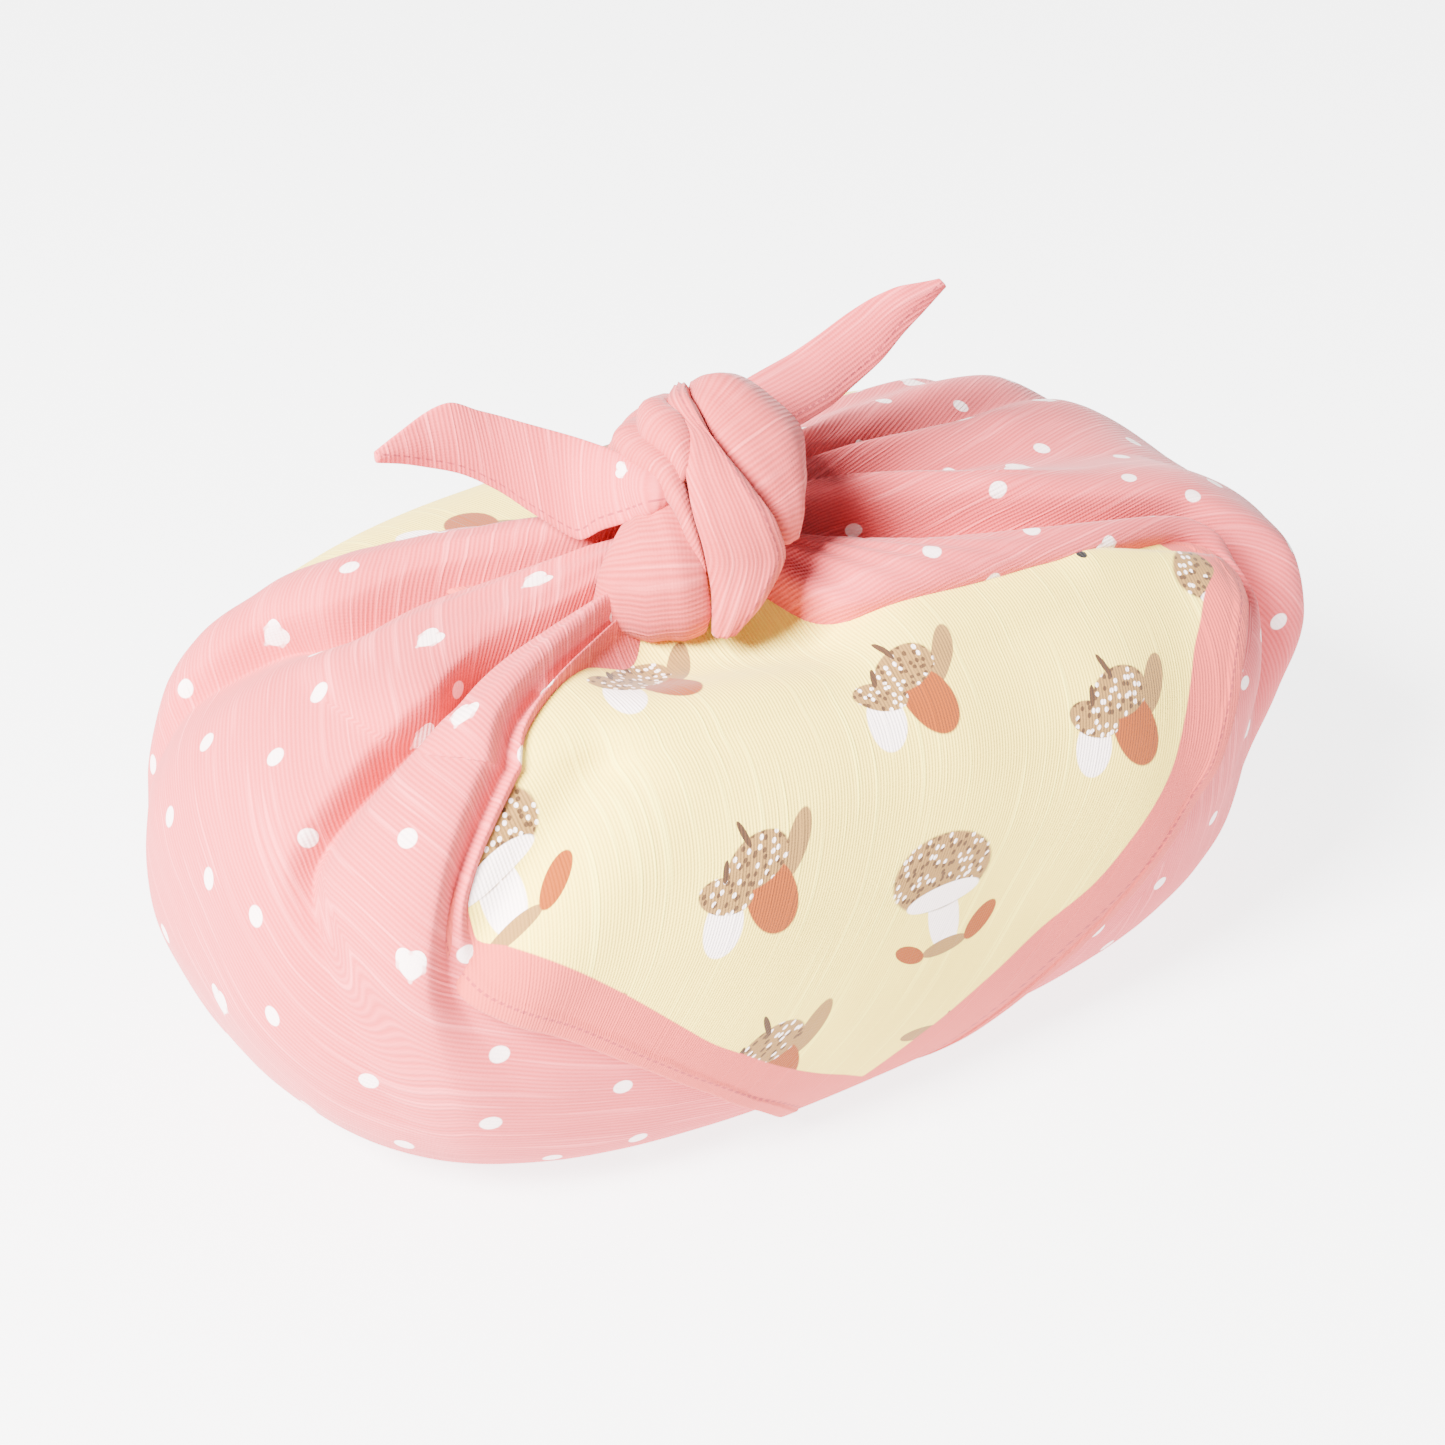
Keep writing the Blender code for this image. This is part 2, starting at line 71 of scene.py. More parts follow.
# Folds from the base up to the knot: the corner each belongs to, columns to the next fold, how round
# its crest or trough is, and its angles and heights in millimetres at these stations
STATIONS = (0.38, 0.50, 0.60, 0.68, 0.76, 0.84, 0.90, 0.955)
FADE_OUT = 0.24
FOOT = (0, 0.2, 0.2, 0.2, 0.2, 0.2, 0.2, 1)
FOLDS = (
    ("right", "ridge c", 4, 1, (-15, -15, -16, -17, -17, -14, -9, -2),
     (1.2, 2.4, 3.4, 4.4, 5.6, 7.2, 9.4, 12.5)),
    ("right", "valley c", 4, 0.2, (0, 0, 0, -1, -3, 1, 4, 6), (1, 1.8, 2.4, 2.6, 2.4, 2.2, 2.2, 6)),
    ("right", "ridge b", 3, 1, (10, 10, 10, 10, 9, 12, 14, 13), (1, 2.2, 3.2, 4, 4.8, 6.4, 9, 12.5)),
    ("right", "valley b", 3, 0.2, (18, 18, 18, 18, 18, 21, 24, 22), (0.8, 1.6, 2.2, 2.6, 2.6, 2.4, 2.6, 7)),
    ("right", "ridge a", 3, 1, (27, 27, 27, 27, 28, 33, 37, 33), (1, 2.2, 3.4, 4.6, 5.4, 7, 9.4, 13.5)),
    ("right", "back roll", 2, 1, (36, 36, 36, 36, 38, 48, 60, 62), (0.8, 1.8, 2.4, 2.8, 3.4, 4.2, 5.2, 8.5)),
    ("right", "back lip", 1, 0.7, (41, 41, 41, 41, 43, 56, 72, 80), (0.8, 2, 2.8, 3.4, 4, 4.4, 4.8, 7)),
    ("right", "back foot", 3, 0.3, (41.5, 41, 41, 41, 43, 56, 73, 83), FOOT),
    ("back", "back wall", 8, 1, (88, 88, 88, 88, 89, 91, 92, 93), FOOT),
    ("left", "back foot", 1, 0.3, (135, 137.5, 138, 137.5, 138, 127, 112, 104), FOOT),
    ("left", "back lip", 2, 0.7, (136, 137.5, 138, 137.5, 138, 127, 114, 106),
     (0.8, 2, 2.6, 2.8, 3.4, 4, 4.4, 6)),
    ("left", "back ridge", 3, 1, (145, 148, 150, 153, 155, 155.5, 147, 143),
     (0.6, 1.4, 2.4, 3.6, 5, 6.2, 7.4, 10)),
    ("left", "valley a", 4, 0.2, (152, 154, 155, 156.5, 157.5, 158, 149.5, 146),
     (0.2, 0.4, 0.6, 0.2, -1.4, -2.8, -2.6, 1.5)),
    ("left", "ridge", 4, 1, (168, 168, 168, 170, 175, 177, 171, 172), (0.4, 0.9, 1.6, 3, 4.6, 6, 7, 10.5)),
    ("left", "shoulder", 2, 0.8, (203, 199, 194, 190.5, 192, 193, 186, 191.5),
     (0.5, 1, 1.8, 3.6, 4.6, 5.6, 6.4, 8.5)),
    ("left", "valley b", 4, 0.1, (214, 208, 200, 192.5, 193, 194, 187, 193),
     (0.4, 0.4, 0, -2, -2.8, -3.4, -3.4, 0.5)),
    ("left", "front face", 4, 1, (220, 216, 208, 201, 201, 201, 196, 200),
     (0.6, 1.6, 2.8, 3.8, 4.4, 4.8, 5, 7)),
    ("left", "front crest", 2, 0.8, (224, 221, 218, 217, 215.5, 212.5, 211, 210),
     (0.5, 2.2, 5.2, 6.8, 7.4, 7.6, 7.4, 8.5)),
    ("left", "tuck valley", 1, 0.3, (235, 228, 220.6, 218.8, 218.2, 215.5, 213.6, 212.3),
     (0.2, 0, 0.8, 2.2, 2.2, 2.2, 2.2, 3.8)),
    ("left", "tuck ridge", 1, 0.7, (246, 236, 223, 220.6, 220.6, 218.3, 216.3, 214.5),
     (0, -0.8, 0.4, 3.4, 3.8, 3.8, 3.8, 4.8)),
    ("left", "front foot", 2, 0.3, (256, 246, 226, 221.4, 221.2, 218.9, 217.2, 216),
     (0, -0.6, -0.4, 0.2, 0.2, 0.2, 0.2, 1)),
    ("front", "front wall", 8, 1, (262, 262, 262, 262, 262, 256, 247, 243),
     (0, 0, -0.4, -0.6, -0.6, -3, -8, -5)),
    ("right", "front foot", 1, 0.3, (288, 294, 303, 320, 324.5, 309, 279, 273),
     (0, -0.4, -0.6, -1.2, -4.5, -6, -6, -3)),
    ("right", "front lip", 3, 0.6, (302, 308, 315, 322, 324.5, 309, 278, 274),
     (0, -1.4, -1.8, -0.6, 2.4, 3.4, 3.4, 5.5)),
    ("right", "front roll", 3, 1, (308, 313, 320, 326, 327, 321.5, 311, 290),
     (0, -3, -7.5, -5.5, 4, 6, 6.6, 8.5)),
    ("right", "valley d", 2, 0.3, (325, 326, 328, 329.5, 331, 337.5, 344.5, 352),
     (0, -3, -8, -8, -3.5, -3.2, -3, 2)),
    ("right", "ridge c edge", 3, 0.9, (335, 335, 335, 335, 334, 338, 345, 352.5),
     (0.8, 2.2, 4.4, 5, 5, 5.4, 6.4, 9)),
)
FOLD_PARTS = 5
BODY_RINGS = 170
TOP_SHARE = 0.985
# Millimetres round the bundle for a degree, where the folds' curves are drawn
LATERAL_PER_DEGREE = 1.05
# Fine gathers near the knot, where the folds stand up from the bundle
GATHER_SHARES = (0.80, 0.93)
GATHER_RISES = (0.0012, 0.003)
GATHER_DEPTH = 0.00032
GATHER_PITCH = 8.5
GATHER_TWIST = 5
# Soft lumps: their size, the seed of their noise and their height
BODY_LUMPS = ((0.026, 1, 0.0006), (0.011, 2, 0.00022))
LUMP_SHARES = (0.2, 0.4)
# Each corner of the cloth is laid flat from its centre line, to find the way of its ribs and spots.
# The levels are the step over the grid and the rounds at that step
CORNER_CENTRES = {"left": 180, "right": 0, "front": 262, "back": 88}
CENTRE_SHARE = 0.6
FLATTEN_LEVELS = ((10, 400), (4, 200), (2, 100), (1, 40))
FLATTEN_PUSH = 0.24
UPRIGHT_RINGS = (30, 90)
CALM_SHARES = (0.50, 0.62)
CALM_ROUNDS = 120
RIB_ANGLES = {"left": -45, "right": -24, "front": 45, "back": 45}

# The turned-out corners: their side, lift in millimetres, flat size in metres and area, and rows in
# millimetres. Down is the way over the top and down the face from the bundle's middle. Then, along X:
# the left hem, the inner lines of the left and the right border, and the right hem
FLAPS = {
    "front_flap": (-1, 2, (0.165, 0.125), 0.0135, (
        (6, -56, -44, 40, 50),
        (20, -66, -54, 50, 58),
        (30, -76, -64, 62, 66),
        (34, -80, -68, 67.5, 72.5),
        (37, -83, -72, 70.2, 77),
        (41, -86, -76, 71.8, 78.8),
        (48, -88, -83, 66.5, 77),
        (52, -88.5, -83.3, 63.3, 74),
        (57, -87.5, -79, 59, 70.4),
        (67, -81.5, -70.6, 53, 65),
        (77, -74, -62.8, 46.7, 59.2),
        (88, -65, -54, 37.5, 52.3),
        (94, -59.5, -48.7, 30.7, 47.6),
        (100, -54, -42, 19, 42),
        (106, -48, -35.3, 8.4, 35),
        (112, -42.3, -27, -1.5, 27),
        (118, -36, -18, -11, 19),
        (130, -26, -4, -25, 4),
    )),
    "corner_fold": (-1, 0.2, (0.026, 0.03), 0.0004, (
        (28, 50, 50.3, 60, 64),
        (32, 53, 53.3, 64, 69),
        (34, 56, 56.3, 67.5, 72.5),
        (36, 58, 58.3, 69.2, 78),
        (38.5, 60, 60.3, 71.2, 80),
        (43, 62, 62.3, 73, 80),
        (48, 64, 64.3, 73, 78),
        (54, 66, 66.3, 70, 74),
    )),
    "back_flap": (1, 2, (0.165, 0.125), 0.0135, (
        (6, -50, -40, 44, 56),
        (30, -64, -54, 64, 74),
        (42, -74, -64, 74, 84),
        (52, -78, -68, 74, 84),
        (62, -72, -60, 68, 79),
        (90, -40, -28, 42, 54),
        (118, -12, 2, 18, 30),
        (130, 0, 14, 6, 18),
    )),
}
FLAP_ACROSS = 130
FLAP_DOWN = 130
FLAP_LUMPS = (0.03, 3, 0.5)
FLAP_THICKNESS = 0.9
HEM_THICKNESS = 1.5
HEM_WIDTH = 3.6
HEM_ROUNDING = 0.8
THINNEST_EDGE = 0.06
# Length along a slanting hem for each millimetre down
HEM_SLANT = 1.45
# The tables of the bundle's faces: metres to either side and down, the fan of rays from an axis at this
# height, and how often the search for the outline halves
FACE_REACH, FACE_COLUMNS = 0.094, 140
FACE_DROP, FACE_ROWS = 0.140, 180
FAN_ANGLES, FAN_RAYS = (90, -66), 260
AXIS_HEIGHT = 0.045
HALVINGS = 26
# The ribs of the corners run down, and lean over further between these two places
LEAN_DOWNS = (36, 100)
WEAVE_LEAN = 0.8
# The front corner's folded upper edge at the right end, from where it comes out of the gathers
EDGE_LINE = ((44, 34.9), (51.7, 35.8), (60.6, 37.6), (72.1, 39.8), (80, 41))
EDGE_ROW = EDGE_LINE[2][1]
EDGE_START = (38, 46)
EDGE_REACH = 12
# The line under the gathers where the front corner tucks in, how far in it goes and over what width
TUCK_LINE = ((-90, 51), (-86, 46), (-78, 40), (-72, 37), (-65, 31), (-59, 28), (-50, 23), (-44, 19),
             (-30, 9), (0, 9), (8, 20), (24, 28), (36, 31)) + EDGE_LINE
TUCK_DEPTH = 7
TUCK_WIDTH = ((40, 4.0), (50, 0.9))
# Soft troughs and swells of the front corner: the line's two ends (x, down), its width and height
DENTS = (
    ("crease", -56, 42, -88, 55, 5, -2.4),
    ("left swell", -46, 50, -76, 66, 8, 1.4),
    ("centre dip", -8, 70, 8, 88, 16, -1.2),
    ("hollow under the knot", -34, 24, -8, 32, 11, -6.5),
    ("swell below it", -30, 52, 4, 56, 12, 1.4),
    ("right swell", 40, 60, 46, 80, 12, 1.2),
    ("lower swell", -20, 104, 10, 104, 9, 0.8),
    ("end lift", 72, 50, 60, 76, 7, 2.2),
    ("upper edge", 48, 37.5, 72, 41.5, 4, 1.2),
)

# The knot's strands, in millimetres: the way of the ribs, the pleats and their depth, and a row for
# each place along the strand, with the x, y and z of its two edges, its half thickness and how far its
# middle bows out
STRANDS = {
    "back_wrap": ("across", 2, 0.3, (
        (-18, 3, 111, -6, 5, 112, 1.6, -0.6),
        (-20, 8, 106, -4, 9, 106, 1.6, -2.2),
        (-21, 11, 99, -2, 11, 99, 1.6, -2.8),
        (-20, 11, 92, -3, 11, 92, 1.6, -2.4),
        (-19, 9, 86, -5, 9, 86, 1.6, -1),
    )),
    "right_cheek": ("across", 2, 0.3, (
        (-5.5, 4, 112, -1, 8, 104, 1.5, -0.6),
        (-1, -0.5, 112, 3, 6, 100, 1.5, -1.6),
        (2, -7, 109.5, 4.5, 0, 96, 1.5, -2.2),
        (3.5, -11, 106, 4, -6, 92, 1.5, -2),
        (1.5, -14.5, 103, 0, -11.5, 90, 1.5, -1.4),
        (-3, -18, 99, -4, -16, 89, 1.5, -0.6),
    )),
    "right_wrap": ("across", 2, 0.3, (
        (-9.5, 1.5, 113, -4.5, 4, 113.5, 1.6, 0.6),
        (-13.5, -8, 115.5, -0.5, 0, 115, 1.6, 2.4),
        (-14, -13, 113, 3, -6.5, 112, 1.6, 3.4),
        (-13.5, -18, 109.5, 5, -10.5, 108.5, 1.6, 3.6),
        (-11.5, -22, 105, 3, -14, 105.5, 1.5, 3),
        (-9.5, -24, 101.5, -1.5, -19, 100.5, 1.4, 2),
        (-8.5, -24.5, 96.5, -5, -21.5, 97, 1.3, 1),
    )),
    "lower_lobe": ("across", 3, 0.3, (
        (-29.5, -8, 97.5, -24, -16, 105, 1.8, 1.2),
        (-34, -10, 96, -23.5, -21, 100.5, 2.2, 2.6),
        (-37, -11.5, 92.5, -23.5, -24.5, 94.5, 2.2, 3),
        (-37.5, -11, 88, -23, -25, 89, 2.2, 2.6),
        (-36, -10.5, 84, -22.5, -23, 84, 1.8, 1.6),
    )),
    "twist_loop": ("across", 1, 0.2, (
        (-17, 2, 112.5, -12, 0.5, 114.5, 1.6, 0.6),
        (-21.5, -1.5, 112.5, -16.5, -3, 116.5, 1.8, 1),
        (-23.5, -6.5, 112, -17, -7.5, 116.5, 1.8, 1.2),
        (-23, -12, 111, -18, -12, 115, 1.5, 1),
        (-23, -16.5, 108.5, -20, -16, 112, 1.1, 0.5),
    )),
    "upper_loop": ("across", 1, 0.2, (
        (-20, 5, 106.5, -16.5, 2, 111.5, 1.6, 0.8),
        (-25, 0.5, 107.5, -20.5, -3.5, 112.5, 2, 1.4),
        (-26, -5.5, 107.5, -20.5, -8, 112, 2, 1.6),
        (-26, -12.5, 107.5, -21, -13, 111, 1.7, 1.2),
        (-25.5, -17, 105.5, -22.5, -17, 108.5, 1.3, 0.8),
        (-25, -21, 100.5, -23, -21, 103, 1.2, 0.5),
        (-23.5, -23, 94.5, -22.5, -23, 96.5, 1, 0.3),
    )),
    "central_strand": ("along", 3, 0.25, (
        (-11, 3.5, 114, -9, 1.5, 115, 1.4, 0.4),
        (-16.5, -3, 115.5, -13.5, -6.5, 117, 1.3, 0.5),
        (-18.5, -10.5, 114.5, -15, -15.5, 113, 1.2, 0.7),
        (-22.5, -17, 110.5, -14, -23.5, 109, 1.1, 0.9),
        (-24, -21.5, 105, -11.5, -27.5, 103, 1, 1.2),
        (-23.5, -24, 98.5, -10, -28, 97, 1.1, 1.4),
        (-23, -25, 91, -15, -29.5, 90.5, 1.3, 1.6),
        (-23, -25, 84.5, -19, -27.5, 85, 1.5, 1),
    )),
}
# The tails: the flat size in metres, and rows as above
TAILS = {
    "left_tail": ((0.062, 0.0125), (
        (-23.5, -13.5, 107, -24.5, -14.5, 104.5, 1.4, 0.5),
        (-25.5, -11.5, 110, -27.5, -15, 104, 1.4, 1),
        (-26, -5.5, 110, -29, -12, 102, 1, 1),
        (-28, 0.5, 110.5, -32, -6, 98.5, 0.8, 0.9),
        (-32, 4.5, 112, -33.5, 0, 94.5, 0.7, 0.9),
        (-39, 8, 115, -38, 5, 98, 0.6, 0.8),
        (-45.5, 10, 118, -44, 8.5, 103.5, 0.6, 0.7),
        (-51, 11, 120.5, -50, 10.5, 107.5, 0.6, 0.6),
        (-56, 12, 119, -55, 11.5, 109.5, 0.6, 0.4),
        (-60.5, 12, 117, -60, 12, 111.5, 0.6, 0.2),
        (-64.5, 12, 115, -64.5, 12, 113, 0.6, 0),
    )),
    "right_tail": ((0.062, 0.0125), (
        (-5, 5, 108, 1, 1, 101, 1.2, 0.4),
        (1, 7, 109, 7, 0.5, 103, 1, 0.8),
        (8.5, 9.5, 109.5, 14, 2, 101.5, 0.8, 1.2),
        (17.5, 11, 110.5, 22, 4, 102, 0.7, 1.1),
        (25, 11.5, 112.5, 29, 5.5, 104, 0.6, 0.9),
        (32.5, 12, 115, 35.5, 6.5, 106.5, 0.6, 0.7),
        (38.5, 11.5, 117, 42, 7.5, 110.5, 0.6, 0.5),
        (43.5, 10.5, 118, 46.5, 8, 113, 0.6, 0.3),
        (48, 9.5, 118, 50, 8.5, 115, 0.6, 0.1),
        (50.5, 9, 118, 52, 9, 116, 0.6, 0),
    )),
}
TAIL_PLEATS, TAIL_PLEAT_DEPTH = 1, 0.2
# The side of a strand that faces this way bows out and has the pleats
STRAND_FRONT = (-0.49, -0.70, 0.53)
STRAND_SIDES = 44
STRAND_STEPS = 12
# The sections' roundness at the edges, and through the cloth
STRAND_CRISPNESS, TAIL_CRISPNESS = 0.6, 0.5
STRAND_FULLNESS = 0.9
PLEAT_ONSET = 3
STRAND_LUMPS = (7.0, 5, 0.25)
STRAND_TIP = 0.3


def smooth_curve(knots, values, at):
    """Read a smooth curve through the rows of a table that never overshoots them."""
    knots = np.asarray(knots, float)
    values = np.asarray(values, float)
    slope = np.diff(values) / np.diff(knots)
    tangent = np.concatenate([slope[:1], np.zeros(len(slope) - 1), slope[-1:]])
    same_way = slope[:-1] * slope[1:] > 0
    mean = 2 * slope[:-1] * slope[1:] / np.where(same_way, slope[:-1] + slope[1:], 1)
    tangent[1:-1] = np.where(same_way, mean, 0)
    at = np.clip(at, knots[0], knots[-1])
    row = np.clip(np.searchsorted(knots, at, side="right") - 1, 0, len(slope) - 1)
    span = knots[row + 1] - knots[row]
    t = (at - knots[row]) / span
    bend = span * (tangent[row] * t * (1 - t) ** 2 - tangent[row + 1] * t * t * (1 - t))
    ease = t * t * (3 - 2 * t)
    return values[row] + (values[row + 1] - values[row]) * ease + bend


def profile(column, share):
    """One column of the profile table, at a share of the way from the base up to the top."""
    rows = [row[PROFILE_COLUMNS.index(column)] for row in PROFILE]
    return smooth_curve(np.linspace(0, 1, len(rows)), rows, share)


def smoothstep(start, end, value):
    """A smooth step from 0 at start to 1 at end."""
    t = np.clip((value - start) / (end - start), 0, 1)
    return t * t * (3 - 2 * t)


def reach(share, along, across):
    """The reach of the profile, blended between the four sides by how much each one faces."""
    end = np.where(along < 0, profile("left", share), profile("right", share))
    face = np.where(across < 0, profile("front", share), profile("back", share))
    weight = abs(along) ** PLAN_POWER
    weight = weight / (weight + abs(across) ** PLAN_POWER)
    return end * weight + face * (1 - weight)


def bundle(angle, share):
    """A point on the filled bundle, at an angle round it and a share of the way up."""
    angle, share = np.broadcast_arrays(np.radians(angle), share)
    along = np.sign(np.cos(angle)) * abs(np.cos(angle)) ** (2 / PLAN_POWER)
    across = np.sign(np.sin(angle)) * abs(np.sin(angle)) ** (2 / PLAN_POWER)
    height = HEIGHT * profile("height", share)
    size = reach(share, along, across)
    shift = smoothstep(SHIFT_START, 1, height / HEIGHT)
    x = LENGTH / 2 * along * size + KNOT_CENTRE.x * shift
    y = DEPTH / 2 * across * size + KNOT_CENTRE.y * shift
    return np.stack([x, y, height], -1)


def unit(vectors):
    """Vectors of length one, along the last axis."""
    return vectors / np.maximum(np.linalg.norm(vectors, axis=-1, keepdims=True), 1e-12)


def travelled(points, axis=0):
    """The way from the first point, along a line of points or along each line of a grid."""
    steps = np.linalg.norm(np.diff(points, axis=axis), axis=-1)
    return np.concatenate([np.zeros_like(steps.take([0], axis)), np.cumsum(steps, axis)], axis)


def bundle_normal(angle, share):
    """The way out of the bundle, from two short steps over its surface."""
    turn = bundle(angle + 0.1, share) - bundle(angle - 0.1, share)
    climb = bundle(angle, np.minimum(share + 0.002, 0.999)) - bundle(angle, share - 0.002)
    return unit(np.cross(turn, climb))


def soft_lumps(points, size, seed, height):
    """A smooth random height for each point, with lumps of the given size."""
    offset = Vector((seed * 7.3, seed * 3.1, seed * 5.7))
    flat = points.reshape(-1, 3) / size
    values = [noise.noise(Vector(point) + offset) for point in flat]
    return np.array(values).reshape(points.shape[:-1]) * height


def body_columns(share):
    """Angle and height of every column of the body at one ring."""
    stations = (FADE_OUT,) + STATIONS
    angles = np.array([smooth_curve(STATIONS, fold[4], share) for fold in FOLDS], float)
    heights = np.array([smooth_curve(stations, (0.0,) + fold[5], share) for fold in FOLDS], float)
    angles = np.concatenate([[angles[-1] - 360], angles, angles[:2] + 360])
    heights = np.concatenate([heights[-1:], heights, heights[:2]])
    points = np.stack([angles * LATERAL_PER_DEGREE, heights], -1)
    steps = np.diff(points, axis=0)
    lengths = np.maximum(np.linalg.norm(steps, axis=1, keepdims=True), 1e-6)
    ways = steps / lengths
    found = []
    for index, fold in enumerate(FOLDS):
        round_here = fold[3]
        round_next = FOLDS[(index + 1) % len(FOLDS)][3]
        start, end, length = points[index + 1], points[index + 2], lengths[index + 1]
        leave = (ways[index] + ways[index + 1]) / 2 * round_here + ways[index + 1] * (1 - round_here)
        arrive = (ways[index + 1] + ways[(index + 2) % len(ways)]) / 2 * round_next
        arrive = arrive + ways[index + 1] * (1 - round_next)
        t = np.arange(fold[2] * FOLD_PARTS)[:, None] / (fold[2] * FOLD_PARTS)
        ease = t * t * (3 - 2 * t)
        bend = length * (leave * (t * (1 - t) ** 2) - arrive * (t * t * (1 - t)))
        found.append(start + (end - start) * ease + bend)
    found = np.concatenate(found)
    return found[:, 0] / LATERAL_PER_DEGREE, found[:, 1] / 1000


def grid_mesh(name, data, material):
    """Turn a bmesh into a smooth object of the scene."""
    bmesh.ops.recalc_face_normals(data, faces=data.faces)
    mesh = bpy.data.meshes.new(name)
    data.to_mesh(mesh)
    data.free()
    mesh.shade_smooth()
    mesh.materials.append(material)
    thing = bpy.data.objects.new(name, mesh)
    bpy.context.scene.collection.objects.link(thing)
    return thing


def set_uv(face, layer, values):
    """Write one face's corner coordinates on one layer."""
    for loop, value in zip(face.loops, values):
        loop[layer].uv = value


def link_lengths(points, down, side, stride):
    """Cloth lengths between grid points that lie stride steps apart along one way over the grid."""
    rows, columns = points.shape[:2]
    fine = np.linalg.norm(points[down:, side:] - points[:rows - down, :columns - side], axis=-1)
    high = fine.shape[0] - (stride - 1) * down
    wide = fine.shape[1] - (stride - 1) * side
    total = sum(fine[k * down:k * down + high, k * side:k * side + wide] for k in range(stride))
    return total[::stride, ::stride]


def read_grid(table, row, column):
    """Read a table of points between its own rows and columns."""
    i = np.clip(row.astype(int), 0, table.shape[0] - 2)
    j = np.clip(column.astype(int), 0, table.shape[1] - 2)
    s, t = (row - i)[..., None], (column - j)[..., None]
    near = table[i, j] * (1 - t) + table[i, j + 1] * t
    far = table[i + 1, j] * (1 - t) + table[i + 1, j + 1] * t
    return near * (1 - s) + far * s


def flatten(points, flat):
    """Lay a patch of folded cloth flat, keeping its lengths, from a first guess of its flat places."""
    for stride, rounds in FLATTEN_LEVELS:
        coarse = flat[::stride, ::stride].copy()
        links = []
        for down, side, mirror in ((1, 0, 1), (0, 1, 1), (1, 1, 1), (1, 1, -1)):
            seen = points if mirror > 0 else points_mirrored(points, stride)
            links.append((down, side, mirror, link_lengths(seen, down, side, stride)))
        high, wide = coarse.shape[:2]
        for _ in range(rounds):
            move = np.zeros_like(coarse)
            for down, side, mirror, length in links:
                view, shift = coarse[:, ::mirror], move[:, ::mirror]
                start, end = view[:high - down, :wide - side], view[down:, side:]
                gap = end - start
                size = np.linalg.norm(gap, axis=-1, keepdims=True)
                rest = length[:size.shape[0], :size.shape[1], None]
                push = gap * (size - rest) / np.maximum(size, 1e-9) / 2
                shift[:high - down, :wide - side] += push
                shift[down:, side:] -= push
            coarse += move * FLATTEN_PUSH
        flat = read_grid(coarse, *(np.indices(flat.shape[:2]) / stride))
    return flat


def calmed(points, flat, share):
    """Even out a flat patch low on the bundle, where the folds run out, without stretching it."""
    calm = (1 - smoothstep(*CALM_SHARES, share))[1:-1, None, None]
    down = 1 / np.linalg.norm(np.diff(points, axis=0), axis=-1)[..., None]
    side = 1 / np.linalg.norm(np.diff(points, axis=1), axis=-1)[..., None]
    weights = (down[:-1, 1:-1], down[1:, 1:-1], side[1:-1, :-1], side[1:-1, 1:])
    for _ in range(CALM_ROUNDS):
        near = (flat[:-2, 1:-1], flat[2:, 1:-1], flat[1:-1, :-2], flat[1:-1, 2:])
        mean = sum(weight * value for weight, value in zip(weights, near)) / sum(weights)
        flat[1:-1, 1:-1] += (mean - flat[1:-1, 1:-1]) * calm
    return flat


def points_mirrored(points, stride):
    """The grid read from its other side, starting at its last whole stride."""
    last = (points.shape[1] - 1) // stride * stride
    return points[:, last::-1]


